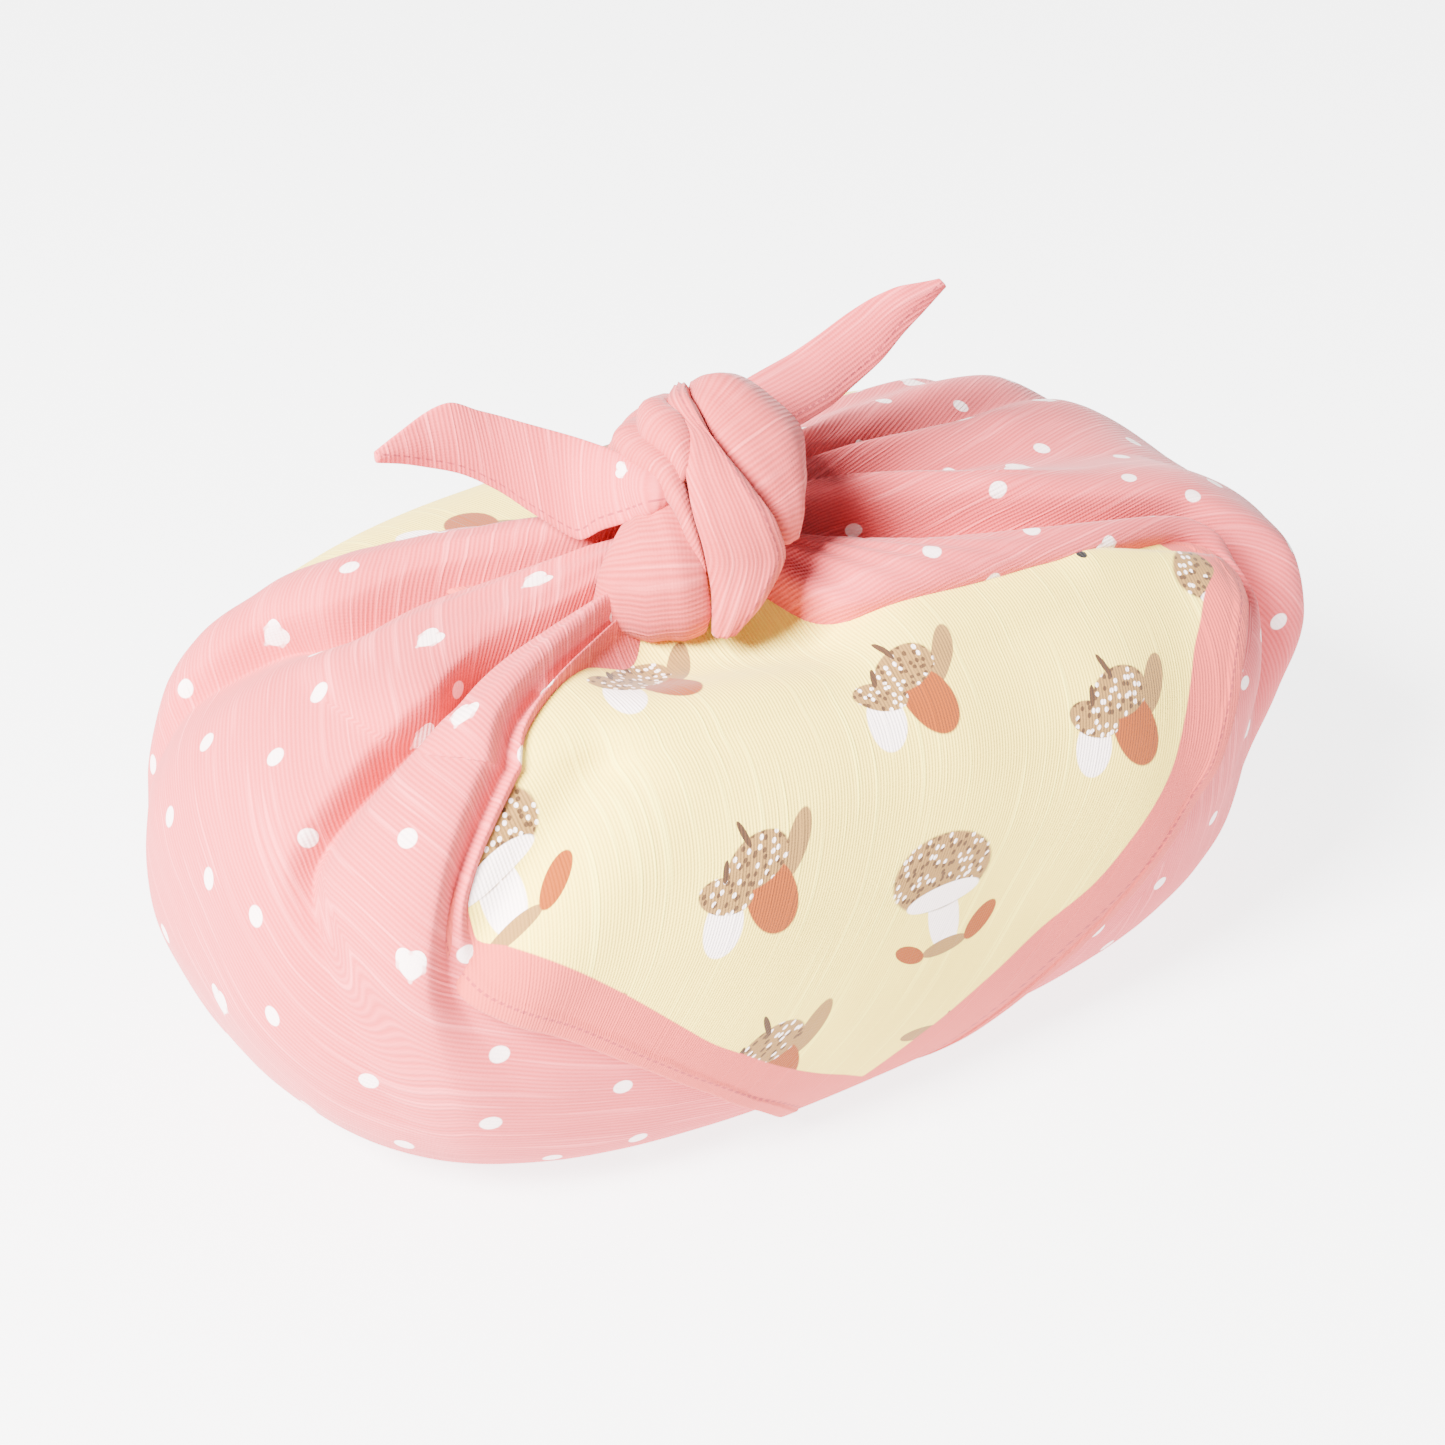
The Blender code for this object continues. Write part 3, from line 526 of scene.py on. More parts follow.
def make_body(material):
    """The wrapped bundle: one closed skin with its gathers, tucks and hollows."""
    shares = np.linspace(BASE_SHARE, TOP_SHARE, BODY_RINGS)
    rows, plain, crests = [], [], []
    for share in shares:
        angles, heights = body_columns(share)
        points = bundle(angles, share)
        normal = bundle_normal(angles, share)
        raised = heights if share > FADE_OUT else heights * 0
        wave = np.sin(2 * np.pi * angles / GATHER_PITCH + GATHER_TWIST * share)
        wave = wave * smoothstep(*GATHER_SHARES, share) * smoothstep(*GATHER_RISES, raised)
        soft = sum(soft_lumps(points, *lump) for lump in BODY_LUMPS) * smoothstep(*LUMP_SHARES, share)
        rows.append(points + normal * (raised + wave * GATHER_DEPTH + soft)[:, None])
        crests.append(points + normal * raised[:, None])
        plain.append(points)
    rows, plain, crests = np.array(rows), np.array(plain), np.array(crests)
    columns = rows.shape[1]
    climb = travelled(plain)
    corners = [fold[0] for fold in FOLDS for _ in range(fold[2] * FOLD_PARTS)]
    angles = body_columns(CENTRE_SHARE)[0]
    flat_places = {}
    for corner, centre in CORNER_CENTRES.items():
        middle = int(np.argmin(abs((angles - centre + 180) % 360 - 180)))
        before, after = 0, 0
        while corners[(middle - before - 1) % columns] == corner:
            before += 1
        while corners[(middle + after) % columns] == corner:
            after += 1
        order = [(middle + step) % columns for step in range(-before, after + 1)]
        patch = crests[:, order]
        around = travelled(patch, 1)
        around = around - around[:, before:before + 1]
        flat = calmed(patch, flatten(patch, np.stack([around, climb[:, order]], -1)), shares)
        flat = flat[..., 0] + 1j * flat[..., 1]
        low, high = (flat[ring, before] for ring in UPRIGHT_RINGS)
        upright = 1j * abs(high - low) / (high - low)
        flat = (flat - low) * upright * np.exp(1j * np.radians(RIB_ANGLES[corner]))
        for step in range(len(order) - 1):
            flat_places[order[step]] = np.stack([flat.imag, flat.real], -1)[:, step:step + 2]
    data = bmesh.new()
    weave = data.loops.layers.uv.new("weave")
    verts = [[data.verts.new(point) for point in row] for row in rows]
    for ring in range(len(rows) - 1):
        for column in range(columns):
            after = (column + 1) % columns
            face = data.faces.new((verts[ring][column], verts[ring][after], verts[ring + 1][after],
                                   verts[ring + 1][column]))
            near, far = flat_places[column][ring], flat_places[column][ring + 1]
            set_uv(face, weave, (near[0], near[1], far[1], far[0]))
    for row, point in ((verts[0], Vector((0, 0, 0))),
                       (verts[-1], Vector((KNOT_CENTRE.x, KNOT_CENTRE.y, HEIGHT + POLE_RISE)))):
        tip = data.verts.new(point)
        for column in range(columns):
            face = data.faces.new((row[column], row[(column + 1) % columns], tip))
            set_uv(face, weave, [(vert.co.x, vert.co.y) for vert in face.verts])
    return grid_mesh("wrap_body", data, material)


def inside(points):
    """Under 1 inside the bundle and over 1 outside it."""
    shares = np.linspace(BASE_SHARE, 1, INSIDE_STEPS)
    share = np.interp(points[..., 2], HEIGHT * profile("height", shares), shares)
    shift = smoothstep(SHIFT_START, 1, points[..., 2] / HEIGHT)
    along = (points[..., 0] - KNOT_CENTRE.x * shift) / (LENGTH / 2)
    across = (points[..., 1] - KNOT_CENTRE.y * shift) / (DEPTH / 2)
    size = (abs(along) ** PLAN_POWER + abs(across) ** PLAN_POWER) ** (1 / PLAN_POWER)
    return size / np.maximum(reach(share, along, across + 1e-9), 1e-6)


def face_table(side):
    """The bundle's outlines over the top and down one face, at even steps along X and down."""
    places = np.linspace(-FACE_REACH, FACE_REACH, FACE_COLUMNS)
    downs = np.linspace(0, FACE_DROP, FACE_ROWS)
    angle = np.radians(np.linspace(*FAN_ANGLES, FAN_RAYS))
    way = np.stack([np.zeros_like(angle), side * np.cos(angle), np.sin(angle)], -1)
    table = []
    for x in places:
        axis = np.array((x, 0, AXIS_HEIGHT))
        near, far = np.zeros_like(angle), np.full_like(angle, LENGTH / 2)
        for _ in range(HALVINGS):
            middle = (near + far) / 2
            points = axis + way * middle[:, None]
            outside = (inside(points) > 1) | (points[:, 2] < 0) | (points[:, 2] > HEIGHT)
            near, far = np.where(outside, near, middle), np.where(outside, middle, far)
        outline = axis + way * near[:, None]
        down = travelled(outline)
        table.append(np.stack([np.interp(downs, down, outline[:, k]) for k in range(3)], -1))
    table = np.array(table)
    out = unit(np.cross(np.gradient(table, axis=1), np.gradient(table, axis=0))) * -side
    return places, downs, table, out


def dent(x, down):
    """The height that the soft troughs and swells add at a place of the front corner, in millimetres."""
    height = np.zeros_like(x)
    for _, x0, down0, x1, down1, width, rise in DENTS:
        run = np.array((x1 - x0, down1 - down0))
        share = np.clip(((x - x0) * run[0] + (down - down0) * run[1]) / (run @ run), 0, 1)
        gap = np.hypot(x - x0 - run[0] * share, down - down0 - run[1] * share)
        height = height + rise * np.exp(-(gap / width) ** 2)
    return height


def make_flap(name, side, lift, rows, material):
    """A turned-out corner as a thin sheet on the bundle, with a hem along its two cut edges."""
    places, downs, table, out = face_table(side)
    rows = np.array(rows, float).T
    down = np.linspace(rows[0, 0], rows[0, -1], FLAP_DOWN + 1)
    left, left_border, right_border, right = (smooth_curve(rows[0], row, down) for row in rows[1:])
    share = (1 - np.cos(np.linspace(0, np.pi, FLAP_ACROSS + 1)))[:, None] / 2
    x = left * (1 - share) + right * share
    down = np.broadcast_to(down, x.shape).copy()
    lift = np.full_like(x, lift)
    hem = np.minimum((x - left) / (left_border - left), (right - x) / (right - right_border))
    if name == "front_flap":
        row_down = down[0, np.argmin(abs(down[0] - EDGE_ROW))]
        shift = (np.interp(x, *zip(*EDGE_LINE)) - row_down) * smoothstep(*EDGE_START, x)
        down = down + shift * (1 - smoothstep(0, EDGE_REACH, abs(down - row_down)))
        tucked = np.interp(x, *zip(*TUCK_LINE))
        width = np.interp(x, *zip(*TUCK_WIDTH))
        lift = lift + dent(x, down) - TUCK_DEPTH * (1 - smoothstep(tucked - width, tucked, down + 1e-6))
    column = np.interp(x / 1000, places, range(len(places)))
    row = np.interp(down / 1000, downs, range(len(downs)))
    base, normal = read_grid(table, column, row), unit(read_grid(out, column, row))
    middle = base + normal * (lift + soft_lumps(base, *FLAP_LUMPS))[..., None] / 1000
    inset = np.minimum(x - left, right - x)
    thick = np.where(inset < HEM_WIDTH, HEM_THICKNESS, FLAP_THICKNESS)
    rounding = 1 - (1 - np.clip(inset / HEM_ROUNDING, 0, 1)) ** 2
    thick = thick * np.sqrt(np.clip(rounding, THINNEST_EDGE, 1))
    down_step = (down[0, -1] - down[0, 0]) / FLAP_DOWN
    lean = np.cumsum(smoothstep(*LEAN_DOWNS, down), axis=1) * down_step * WEAVE_LEAN
    data = bmesh.new()
    coordinates = [
        (data.loops.layers.uv.new("weave"), np.stack([down, x + lean], -1) / 1000),
        (data.loops.layers.uv.new("border"), np.stack([hem, down * HEM_SLANT / 1000], -1)),
        (data.loops.layers.uv.new("print"), np.stack([x, -down], -1) / 1000),
    ]
    layers = []
    for way in (1, -1):
        points = middle + normal * (thick * way / 2000)[..., None]
        layers.append([[data.verts.new(point) for point in column] for column in points])

    def add_face(verts, spots):
        face = data.faces.new(verts)
        for layer, values in coordinates:
            set_uv(face, layer, [values[spot] for spot in spots])

    for layer in layers:
        for i in range(FLAP_ACROSS):
            for j in range(FLAP_DOWN):
                spots = ((i, j), (i, j + 1), (i + 1, j + 1), (i + 1, j))
                add_face([layer[a][b] for a, b in spots], spots)
    rim = [(i, 0) for i in range(FLAP_ACROSS + 1)]
    rim += [(FLAP_ACROSS, j) for j in range(1, FLAP_DOWN + 1)]
    rim += [(i, FLAP_DOWN) for i in range(FLAP_ACROSS - 1, -1, -1)]
    rim += [(0, j) for j in range(FLAP_DOWN - 1, 0, -1)]
    for (a, b), (c, d) in zip(rim, rim[1:] + rim[:1]):
        verts = (layers[0][a][b], layers[0][c][d], layers[1][c][d], layers[1][a][b])
        add_face(verts, ((a, b), (c, d), (c, d), (a, b)))
    return grid_mesh(name, data, material)


def make_strand(name, rows, ribs, pleats, pleat_depth, material, crispness=STRAND_CRISPNESS):
    """A strand of gathered cloth between two edges: flattened sections with pleats on them."""
    table = np.array(rows, float)
    at = np.linspace(0, len(table) - 1, STRAND_STEPS * (len(table) - 1) + 1)
    columns = [smooth_curve(np.arange(len(table)), column, at) for column in table.T]
    first, second = np.stack(columns[:3], -1), np.stack(columns[3:6], -1)
    middle = (first + second) / 2
    half_width = np.linalg.norm(second - first, axis=1) / 2
    along = np.gradient(middle, axis=0)
    across = unit(second - first)
    through = unit(np.cross(along, across))
    if (through @ np.array(STRAND_FRONT)).sum() < 0:
        through = -through
    turn = np.arange(STRAND_SIDES) * 2 * np.pi / STRAND_SIDES
    wide = np.sign(np.cos(turn)) * abs(np.cos(turn)) ** crispness
    deep = np.sign(np.sin(turn)) * abs(np.sin(turn)) ** STRAND_FULLNESS
    travel = travelled(middle)
    data = bmesh.new()
    weave = data.loops.layers.uv.new("weave")
    border = data.loops.layers.uv.new("border")
    side = wide * half_width[:, None]
    run = np.broadcast_to(travel[:, None], side.shape)
    weave_places = np.stack([side, run] if ribs == "across" else [run, side], -1) / 1000
    hem_places = np.stack([(1 - wide) * half_width[:, None], run / 1000], -1)
    bow = columns[7][:, None] * (1 - wide ** 2)
    pleat = pleat_depth * np.cos(wide * np.pi * pleats) * (1 - abs(wide) ** 3)
    height = deep * columns[6][:, None] + bow + pleat * np.clip(deep * PLEAT_ONSET, 0, 1)
    skin = middle[:, None] + across[:, None] * side[..., None] + through[:, None] * height[..., None]
    skin = skin + through[:, None] * soft_lumps(skin, *STRAND_LUMPS)[..., None]
    rings = [[data.verts.new(point / 1000) for point in ring] for ring in skin]
    for index in range(len(rings) - 1):
        for place in range(STRAND_SIDES):
            after = (place + 1) % STRAND_SIDES
            corners = ((index, place), (index, after), (index + 1, after), (index + 1, place))
            face = data.faces.new([rings[a][b] for a, b in corners])
            set_uv(face, weave, [weave_places[corner] for corner in corners])
            set_uv(face, border, [hem_places[corner] for corner in corners])
    for row, index, way in ((rings[0], 0, -STRAND_TIP), (rings[-1], -1, STRAND_TIP)):
        tip = data.verts.new((middle[index] + along[index] * way) / 1000)
        for place in range(STRAND_SIDES):
            data.faces.new((row[place], row[(place + 1) % STRAND_SIDES], tip))
    return grid_mesh(name, data, material)


def make_knot_core(material):
    """The middle of the knot, which the strands wrap."""
    data = bmesh.new()
    bmesh.ops.create_uvsphere(data, u_segments=48, v_segments=32, radius=1)
    place = Matrix.Translation(KNOT_CENTRE) @ Matrix.Diagonal((*KNOT_RADII, 1))
    bmesh.ops.transform(data, matrix=place, verts=data.verts)
    weave = data.loops.layers.uv.new("weave")
    for face in data.faces:
        set_uv(face, weave, [(vert.co.y, vert.co.z) for vert in face.verts])
    return grid_mesh("knot_core", data, material)


class Graph:
    """Short ways to add shader nodes to one material."""

    def __init__(self, name):
        self.material = bpy.data.materials.new(name)
        self.material.use_nodes = True
        self.tree = self.material.node_tree
        self.shader = self.tree.nodes["Principled BSDF"]

    def put(self, socket, value):
        if isinstance(value, bpy.types.NodeSocket):
            self.tree.links.new(value, socket)
        else:
            socket.default_value = value

    def node(self, kind, settings=(), **inputs):
        node = self.tree.nodes.new("ShaderNode" + kind)
        for key, value in dict(settings).items():
            setattr(node, key, value)
        for key, value in inputs.items():
            self.put(node.inputs[key.replace("_", " ")], value)
        return node

    def math(self, operation, *values, clamp=False):
        node = self.node("Math", {"operation": operation, "use_clamp": clamp})
        for socket, value in zip(node.inputs, values):
            self.put(socket, value)
        return node.outputs[0]

    def plus(self, first, second):
        return self.math("ADD", first, second)

    def minus(self, first, second):
        return self.math("SUBTRACT", first, second)

    def times(self, first, second):
        return self.math("MULTIPLY", first, second)

    def add_up(self, total, *parts):
        """The total with each value added to it, times its weight."""
        for value, weight in parts:
            total = self.plus(total, self.times(value, weight))
        return total

    def vector(self, operation, *values):
        node = self.node("VectorMath", {"operation": operation})
        for socket, value in zip(node.inputs, values):
            self.put(socket, value)
        return node.outputs["Value"] if operation == "LENGTH" else node.outputs[0]

    def scaled(self, vector, scale):
        return self.node("VectorMath", {"operation": "SCALE"}, Vector=vector, Scale=scale).outputs[0]

    def turned(self, vector, degrees):
        return self.node("VectorRotate", {"rotation_type": "Z_AXIS"}, Vector=vector,
                         Angle=np.radians(degrees)).outputs[0]

    def chances(self, cell):
        """A random value and colour for each cell of a grid."""
        return self.node("TexWhiteNoise", {"noise_dimensions": "2D"}, Vector=cell).outputs

    def split(self, vector):
        node = self.node("SeparateXYZ", Vector=vector)
        return node.outputs[0], node.outputs[1]

    def join(self, x, y):
        return self.node("CombineXYZ", X=x, Y=y).outputs[0]

    def uv(self, layer):
        return self.node("UVMap", {"uv_map": layer}).outputs[0]

    def noise(self, vector, scale, detail=2.0):
        return self.node("TexNoise", Vector=vector, Scale=scale, Detail=detail).outputs["Fac"]

    def ramp(self, value, start, end):
        """A smooth step from 0 at start to 1 at end."""
        return self.node("MapRange", {"interpolation_type": "SMOOTHSTEP"}, Value=value,
                         From_Min=start, From_Max=end).outputs[0]

    def mix(self, mask, first, second):
        """One colour over another where the mask is 1. The node has its colours at sockets 6 and 7."""
        node = self.node("Mix", {"data_type": "RGBA"})
        for socket, value in ((0, mask), (6, first), (7, second)):
            self.put(node.inputs[socket], value)
        return node.outputs[2]

    def ellipse(self, point, centre, radii, turn):
        """A mask, 1 inside a turned ellipse."""
        moved = self.vector("SUBTRACT", point, (*centre, 0))
        if turn:
            moved = self.turned(moved, -turn)
        scaled = self.vector("MULTIPLY", moved, (1 / radii[0], 1 / radii[1], 0))
        return self.ramp(self.vector("LENGTH", scaled), 1 + ELLIPSE_SOFTNESS, 1 - ELLIPSE_SOFTNESS)


# The weave in metres: its ribs and how far they wander, its cross threads, slubs along the ribs and
# broader streaks (their scales along and across), and the fine unevenness of the yarn
RIB_PITCH = 0.00082
CREAM_RIB_PITCH = 0.00062
WANDER_SCALE, WANDER = 60.0, 0.0004
THREAD_PITCH = 0.00055
SLUB_SCALES, SLUB_RAMP = (26.0, 900.0), (0.58, 0.68)
BROAD_SCALES = (14.0, 330.0)
FINE_SCALE = 2600.0
# What each adds to the shade from the deep to the lit colour, and to the relief
RIB_SHADE, BASE_SHADE = 0.40, -0.05
SLUB_SHADE, BROAD_SHADE, FINE_SHADE = 0.55, 0.36, 0.25
RIB_RELIEF, SLUB_RELIEF, THREAD_RELIEF, FINE_RELIEF = 0.7, 0.7, 0.10, 0.25
# Spots and hearts, scattered over a turned grid
SPOT_TURN = 28
SPOT_PITCH = 0.0178
SPOT_SCATTER = 0.5
SPOT_SHARE = 0.00165 / SPOT_PITCH
SPOT_SOFTNESS = 0.008
HEART_CHANCE = 0.27
HEART_SIZE = 0.0023
HEART_LIFT = 0.1
HEART_SOFTNESS = 0.05
WHITE_COVER = 0.93
TAIL_HEART_SIZE = 0.0013
TAIL_HEART_PLACE = (-0.003, 0.0085)
# Hem stitches: millimetres from a tail's edge, or shares of the border's width
STITCH_PITCH = 0.0019
STITCH_LENGTH = 0.62
TAIL_STITCHES, TAIL_THREAD_COVER = (1.7, 2.05), 0.8
BORDER_STITCHES, BORDER_THREAD_COVER = (0.22, 0.26), 0.75
BORDER_EDGE = (1.02, 0.98)
# The print, on a grid with every other column half a step down
PRINT_PITCH = 0.038
PRINT_SHIFT = (0.019, 0.028)
PRINT_SIZE = 1.18
PRINT_CENTRE = 0.42
PRINT_SCATTER = 0.16
SECOND_MOTIF, THIRD_MOTIF = 0.33, 0.66
ELLIPSE_SOFTNESS = 0.04
FLECK_SCALE, FLECK_RAMP, FLECK_COVER = 760.0, (0.34, 0.26), 0.9
WHITE_FLECKS = 0.6
# Colours of the cloth, from deep to lit, and of what is printed and sewn on it
PINK = (0.50, 0.048, 0.054, 1), (0.74, 0.135, 0.145, 1)
# The knot's pink is a darker copy of the same cloth's pink: painted shade on the knot
KNOT_SHADED_PINK = (0.40, 0.037, 0.038, 1), (0.64, 0.112, 0.112, 1)
BORDER_PINK = (0.54, 0.0702, 0.0576, 1), (0.60, 0.078, 0.064, 1)
CREAM = (0.80, 0.57, 0.085, 1), (0.96, 0.79, 0.145, 1)
WHITE = (0.95, 0.80, 0.78, 1)
TAN = (0.26, 0.135, 0.036, 1)
BROWN = (0.060, 0.024, 0.008, 1)
ORANGE = (0.24, 0.045, 0.0003, 1)
BLACK = (0.006, 0.005, 0.005, 1)
THREAD = (0.30, 0.03, 0.045, 1)
FLECKED = None
# The print's motifs, drawn as ellipses: paint, centre and radii as shares of the pitch, and turn
MOTIFS = (
    (
        (WHITE, (0, -0.12), (0.075, 0.15), 4),
        (TAN, (0, -0.245), (0.11, 0.03), 0),
        (FLECKED, (0, 0.07), (0.235, 0.15), 0),
        (WHITE, (0, -0.03), (0.175, 0.045), 0),
        (ORANGE, (0.18, -0.2), (0.095, 0.042), 35),
        (ORANGE, (-0.17, -0.22), (0.075, 0.034), -30),
    ),
    (
        (TAN, (0.19, 0.05), (0.045, 0.13), -38),
        (ORANGE, (0.05, -0.09), (0.105, 0.145), 14),
        (FLECKED, (0.02, 0.05), (0.14, 0.085), 14),
        (BROWN, (-0.005, 0.15), (0.013, 0.05), 14),
        (WHITE, (-0.16, -0.12), (0.08, 0.11), -22),
        (FLECKED, (-0.13, -0.02), (0.11, 0.065), -22),
        (BROWN, (-0.11, 0.06), (0.012, 0.04), -22),
    ),
    (
        (BROWN, (0, 0.17), (0.014, 0.07), 8),
        (TAN, (-0.13, 0.17), (0.11, 0.036), -14),
        (TAN, (0.12, 0.19), (0.1, 0.034), 18),
        (FLECKED, (0, -0.03), (0.145, 0.17), 0),
        (ORANGE, (0.19, -0.17), (0.05, 0.046), 0),
        (ORANGE, (0.245, -0.1), (0.036, 0.034), 0),
        (BLACK, (0.13, -0.23), (0.02, 0.02), 0),
    ),
)
FLOOR_TONES = (0.40, 0.40, 0.403, 1), (0.43, 0.43, 0.43, 1)
FLOOR_MOTTLE = 3.0
FLOOR_GLOW = 4.2
FLOOR_SIZE = 2.5


def weave_layers(graph, pitch=RIB_PITCH):
    """Ribs, slubs and cross threads from the weave coordinates: a colour share and a height."""
    place = graph.uv("weave")
    along, across = graph.split(place)
    wander = graph.times(graph.minus(graph.noise(place, WANDER_SCALE), 0.5), WANDER)
    across = graph.plus(across, wander)
    rib = graph.math("SINE", graph.times(across, 2 * np.pi / pitch))
    rib = graph.math("MULTIPLY_ADD", rib, 0.5, 0.5)
    thread = graph.math("SINE", graph.times(along, 2 * np.pi / THREAD_PITCH))
    streaks = [graph.join(graph.times(along, scales[0]), graph.times(across, scales[1]))
               for scales in (SLUB_SCALES, BROAD_SCALES)]
    slub = graph.ramp(graph.noise(streaks[0], 1.0, 1.0), *SLUB_RAMP)
    broad = graph.noise(streaks[1], 1.0)
    fine = graph.noise(place, FINE_SCALE, 1.0)
    shade = graph.math("MULTIPLY_ADD", rib, RIB_SHADE, BASE_SHADE)
    shade = graph.add_up(shade, (slub, SLUB_SHADE), (broad, BROAD_SHADE))
    shade = graph.math("ADD", shade, graph.times(graph.minus(fine, 0.5), FINE_SHADE), clamp=True)
    height = graph.add_up(graph.times(rib, RIB_RELIEF), (slub, SLUB_RELIEF), (thread, THREAD_RELIEF),
                          (fine, FINE_RELIEF))
    return place, shade, height


def finish_cloth(graph, colour, height):
    """Join the colour and the weave's relief to the shader."""
    graph.put(graph.shader.inputs["Base Color"], colour)
    graph.shader.inputs["Roughness"].default_value = 0.88
    graph.shader.inputs["Specular IOR Level"].default_value = 0.25
    graph.shader.inputs["Sheen Weight"].default_value = 0.12
    bump = graph.node("Bump", Height=height, Strength=0.55, Distance=0.00016)
    graph.put(graph.shader.inputs["Normal"], bump.outputs[0])
    return graph.material


def heart_shape(graph, point, size):
    """A heart about the origin: a mask."""
    x, y = graph.split(point)
    x = graph.math("DIVIDE", x, size)
    y = graph.plus(graph.math("DIVIDE", y, size), HEART_LIFT)
    xx, yy = graph.times(x, x), graph.times(y, y)
    ring = graph.minus(graph.plus(xx, yy), 1.0)
    cube = graph.times(ring, graph.times(ring, ring))
    heart = graph.minus(cube, graph.times(graph.times(xx, yy), y))
    return graph.ramp(heart, HEART_SOFTNESS, -HEART_SOFTNESS)


def spots(graph, place):
    """White spots and hearts on a loose lattice: a mask."""
    place = graph.scaled(graph.turned(place, SPOT_TURN), 1 / SPOT_PITCH)
    cell = graph.vector("FLOOR", place)
    chance = graph.chances(cell)
    local = graph.vector("SUBTRACT", graph.vector("SUBTRACT", place, cell), (0.5, 0.5, 0))
    shift = graph.vector("SUBTRACT", chance["Color"], (0.5, 0.5, 0.5))
    shift = graph.vector("MULTIPLY", shift, (SPOT_SCATTER, SPOT_SCATTER, 0))
    local = graph.vector("SUBTRACT", local, shift)
    dot = graph.ramp(graph.vector("LENGTH", local), SPOT_SHARE + SPOT_SOFTNESS, SPOT_SHARE - SPOT_SOFTNESS)
    heart = heart_shape(graph, local, HEART_SIZE / SPOT_PITCH)
    pick = graph.math("LESS_THAN", chance["Value"], HEART_CHANCE)
    return graph.math("ADD", graph.times(heart, pick), graph.times(dot, graph.minus(1.0, pick)), clamp=True)


def stitches(graph, start, end):
    """The distance from a hem's edge, and a mask of short stitches between two such distances."""
    edge, along = graph.split(graph.uv("border"))
    row = graph.times(graph.math("GREATER_THAN", edge, start), graph.math("LESS_THAN", edge, end))
    dash = graph.math("FRACT", graph.math("DIVIDE", along, STITCH_PITCH))
    return edge, graph.times(row, graph.math("LESS_THAN", dash, STITCH_LENGTH))


def pink_cloth(name, tones, spotted=False, hemmed=False, heart_place=None):
    """The pink side, with its spots and hearts, with stitches along one edge, or with a single heart."""
    graph = Graph(name)
    place, shade, height = weave_layers(graph)
    colour = graph.mix(shade, *tones)
    if spotted:
        colour = graph.mix(graph.times(spots(graph, place), WHITE_COVER), colour, WHITE)
    if heart_place:
        heart = heart_shape(graph, graph.vector("SUBTRACT", place, (*heart_place, 0)), TAIL_HEART_SIZE)
        colour = graph.mix(graph.times(heart, WHITE_COVER), colour, WHITE)
    if hemmed:
        _, stitch = stitches(graph, *TAIL_STITCHES)
        colour = graph.mix(graph.times(stitch, TAIL_THREAD_COVER), colour, THREAD)
    return finish_cloth(graph, colour, height)


def printed_cloth(name):
    """The cream side: a pink border with a stitched hem round a print of mushrooms, acorns and berries."""
    graph = Graph(name)
    place, shade, height = weave_layers(graph, CREAM_RIB_PITCH)
    cream = graph.mix(shade, *CREAM)
    print_place = graph.vector("ADD", graph.uv("print"), (*PRINT_SHIFT, 0))
    x, y = graph.split(graph.scaled(print_place, 1 / PRINT_PITCH))
    column = graph.math("FLOOR", x)
    y = graph.math("MULTIPLY_ADD", column, 0.5, y)
    row = graph.math("FLOOR", y)
    chance = graph.chances(graph.join(column, row))
    local = graph.join(graph.minus(x, column), graph.minus(y, row))
    shift = graph.vector("MULTIPLY", chance["Color"], (PRINT_SCATTER, PRINT_SCATTER, 0))
    local = graph.vector("SUBTRACT", graph.vector("SUBTRACT", local, (PRINT_CENTRE, PRINT_CENTRE, 0)), shift)
    local = graph.vector("MULTIPLY", local, (1 / PRINT_SIZE, 1 / PRINT_SIZE, 0))
    flecks = graph.node("TexVoronoi", {"voronoi_dimensions": "2D"}, Vector=place, Scale=FLECK_SCALE)
    fleck = graph.ramp(flecks.outputs["Distance"], *FLECK_RAMP)
    tone = graph.math("GREATER_THAN", graph.split(flecks.outputs["Color"])[0], WHITE_FLECKS)
    flecked = graph.mix(graph.times(fleck, FLECK_COVER), TAN, graph.mix(tone, BROWN, WHITE))
    motifs = []
    for shapes in MOTIFS:
        base = cream
        for paint, centre, radii, turn in shapes:
            base = graph.mix(graph.ellipse(local, centre, radii, turn), base, paint or flecked)
        motifs.append(base)
    others = graph.mix(graph.math("GREATER_THAN", chance["Value"], THIRD_MOTIF), motifs[1], motifs[2])
    cream = graph.mix(graph.math("GREATER_THAN", chance["Value"], SECOND_MOTIF), motifs[0], others)
    edge, stitch = stitches(graph, *BORDER_STITCHES)
    colour = graph.mix(graph.ramp(edge, *BORDER_EDGE), cream, graph.mix(shade, *BORDER_PINK))
    colour = graph.mix(graph.times(stitch, BORDER_THREAD_COVER), colour, THREAD)
    return finish_cloth(graph, colour, height)


def floor_material():
    """A plain pale floor with a soft glow."""
    graph = Graph("pale_floor")
    place = graph.node("TexCoord").outputs["Object"]
    graph.put(graph.shader.inputs["Base Color"], graph.mix(graph.noise(place, FLOOR_MOTTLE), *FLOOR_TONES))
    graph.shader.inputs["Roughness"].default_value = 0.9
    graph.shader.inputs["Emission Color"].default_value = (1, 1, 1, 1)
    graph.shader.inputs["Emission Strength"].default_value = FLOOR_GLOW
    return graph.material


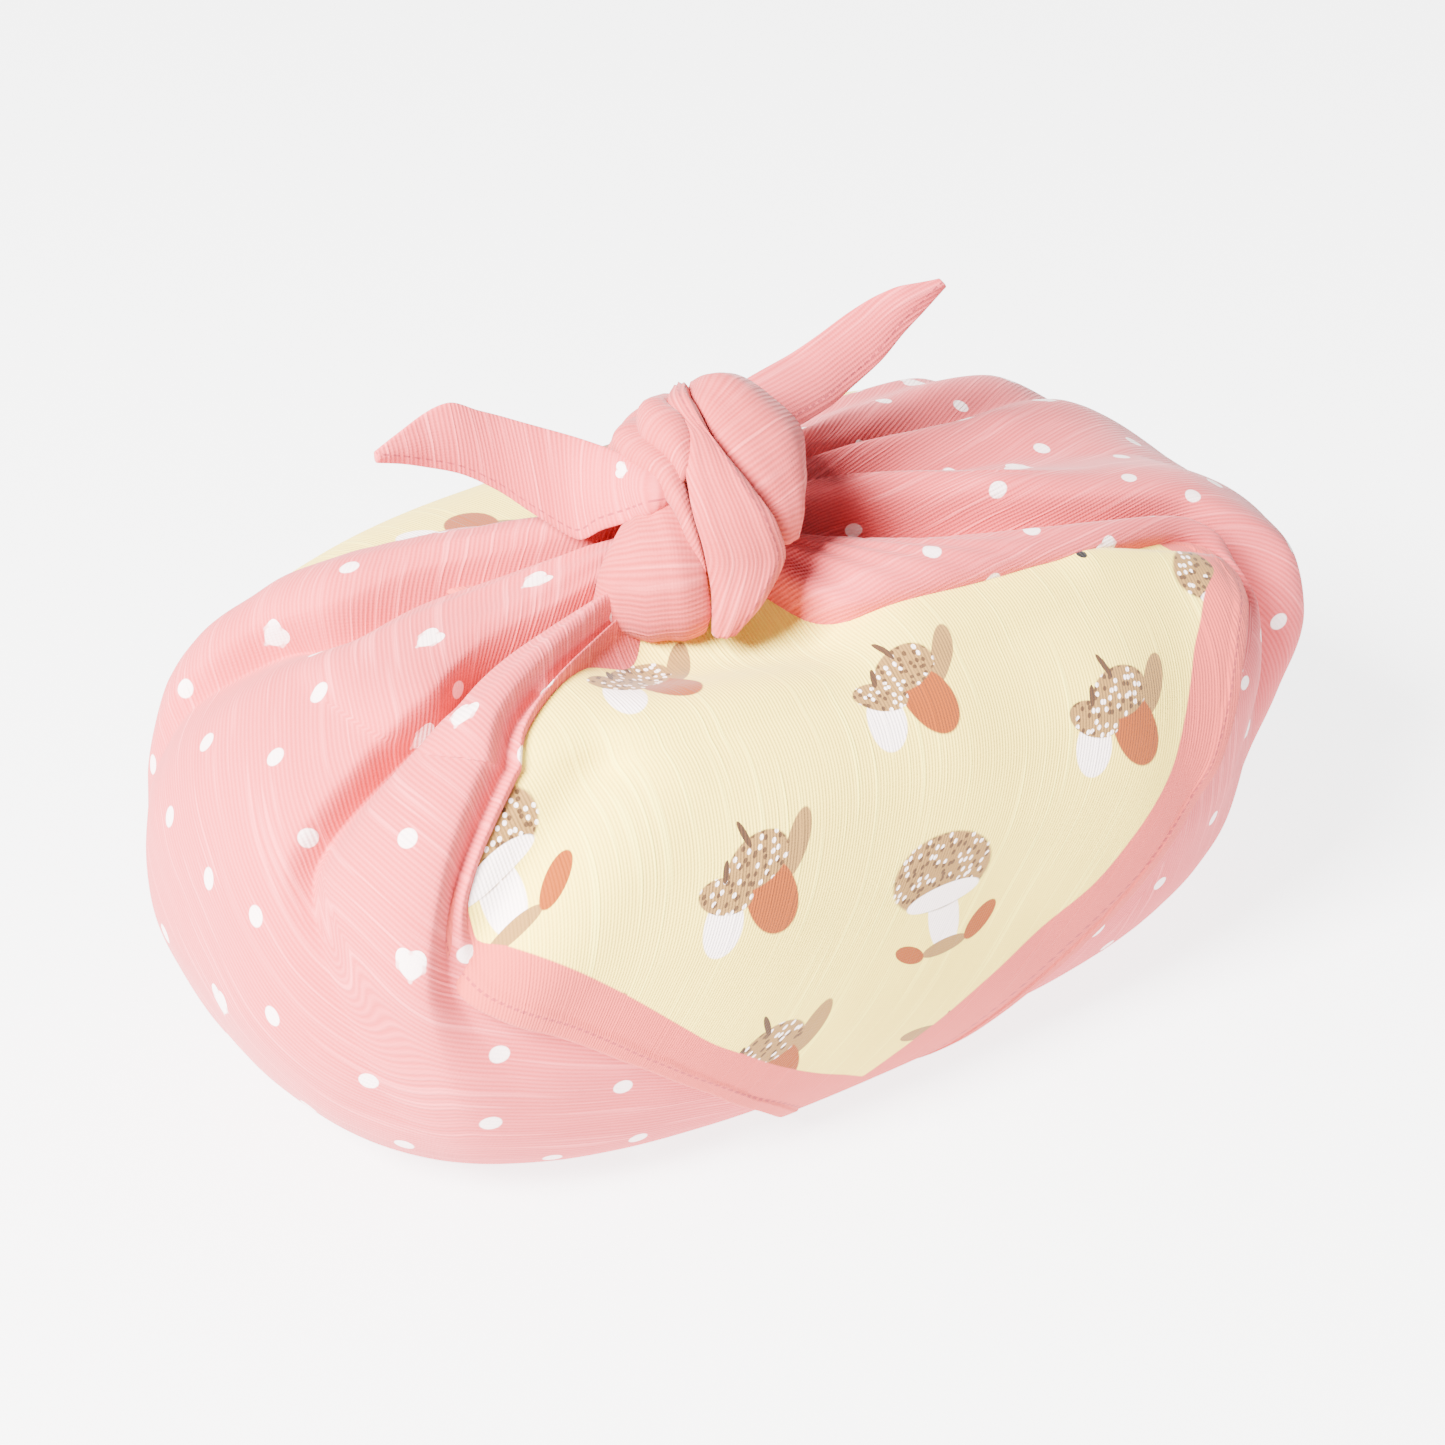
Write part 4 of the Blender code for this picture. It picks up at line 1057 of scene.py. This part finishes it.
def make_camera():
    """The photograph's viewing angle."""
    data = bpy.data.cameras.new("camera")
    data.lens = 84
    data.sensor_width = 36
    data.shift_x, data.shift_y = -0.0110, 0.0375
    azimuth, elevation, distance = np.radians(-35), np.radians(32), 0.62
    target = Vector((0, 0, 0.035))
    level = np.cos(elevation)
    back = Vector((np.sin(azimuth) * level, -np.cos(azimuth) * level, np.sin(elevation)))
    camera = bpy.data.objects.new("camera", data)
    camera.location = target + back * distance
    camera.rotation_euler = back.to_track_quat("Z", "Y").to_euler()
    bpy.context.scene.collection.objects.link(camera)
    bpy.context.scene.camera = camera


def make_key_light():
    """A soft studio light at the left, which faces the wrap."""
    data = bpy.data.lights.new("key_light", "AREA")
    data.size = 0.5
    data.energy = 174
    data.color = (1.0, 0.99, 0.98)
    light = bpy.data.objects.new("key_light", data)
    light.location = (-0.97, -0.20, 0.92)
    light.rotation_euler = light.location.to_track_quat("Z", "Y").to_euler()
    bpy.context.scene.collection.objects.link(light)


def make_surroundings():
    """The floor and the pale light all round."""
    data = bmesh.new()
    bmesh.ops.create_grid(data, x_segments=4, y_segments=4, size=FLOOR_SIZE)
    grid_mesh("floor", data, floor_material())
    world = bpy.data.worlds.new("studio")
    world.use_nodes = True
    background = world.node_tree.nodes["Background"]
    background.inputs["Color"].default_value = (1, 1, 1, 1)
    background.inputs["Strength"].default_value = 0.5
    bpy.context.scene.world = world


make_camera()
make_surroundings()
make_key_light()
spotted_pink = pink_cloth("spotted_pink_cotton", PINK, spotted=True)
# The knot core, its strands and the central strand take the darker knot pink, which paints shade on them
shaded_plain_pink = pink_cloth("plain_pink_cotton", KNOT_SHADED_PINK)
hemmed_pink = pink_cloth("hemmed_pink_cotton", PINK, hemmed=True)
hearted_pink = pink_cloth("hearted_pink_cotton", PINK, hemmed=True, heart_place=TAIL_HEART_PLACE)
shaded_hemmed_pink = pink_cloth("tight_hemmed_pink_cotton", KNOT_SHADED_PINK, hemmed=True)
printed = printed_cloth("printed_cream_cotton")
pieces = [make_body(spotted_pink)]
for flap_name, (side, lift, flat, area, rows) in FLAPS.items():
    flap = make_flap(flap_name, side, lift, rows, printed)
    pieces.append(flap)
core = make_knot_core(shaded_plain_pink)
pieces.append(core)
for strand_name, (ribs, pleats, pleat_depth, rows) in STRANDS.items():
    material = shaded_hemmed_pink if strand_name == "central_strand" else shaded_plain_pink
    strand = make_strand(strand_name, rows, ribs, pleats, pleat_depth, material)
    pieces.append(strand)
for tail_name, (flat, rows) in TAILS.items():
    ribs, material = ("across", hearted_pink) if tail_name == "left_tail" else ("along", hemmed_pink)
    tail = make_strand(tail_name, rows, ribs, TAIL_PLEATS, TAIL_PLEAT_DEPTH, material, TAIL_CRISPNESS)
    pieces.append(tail)
for piece in pieces:
    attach(piece, "root")
    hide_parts("furoshiki_cloth")
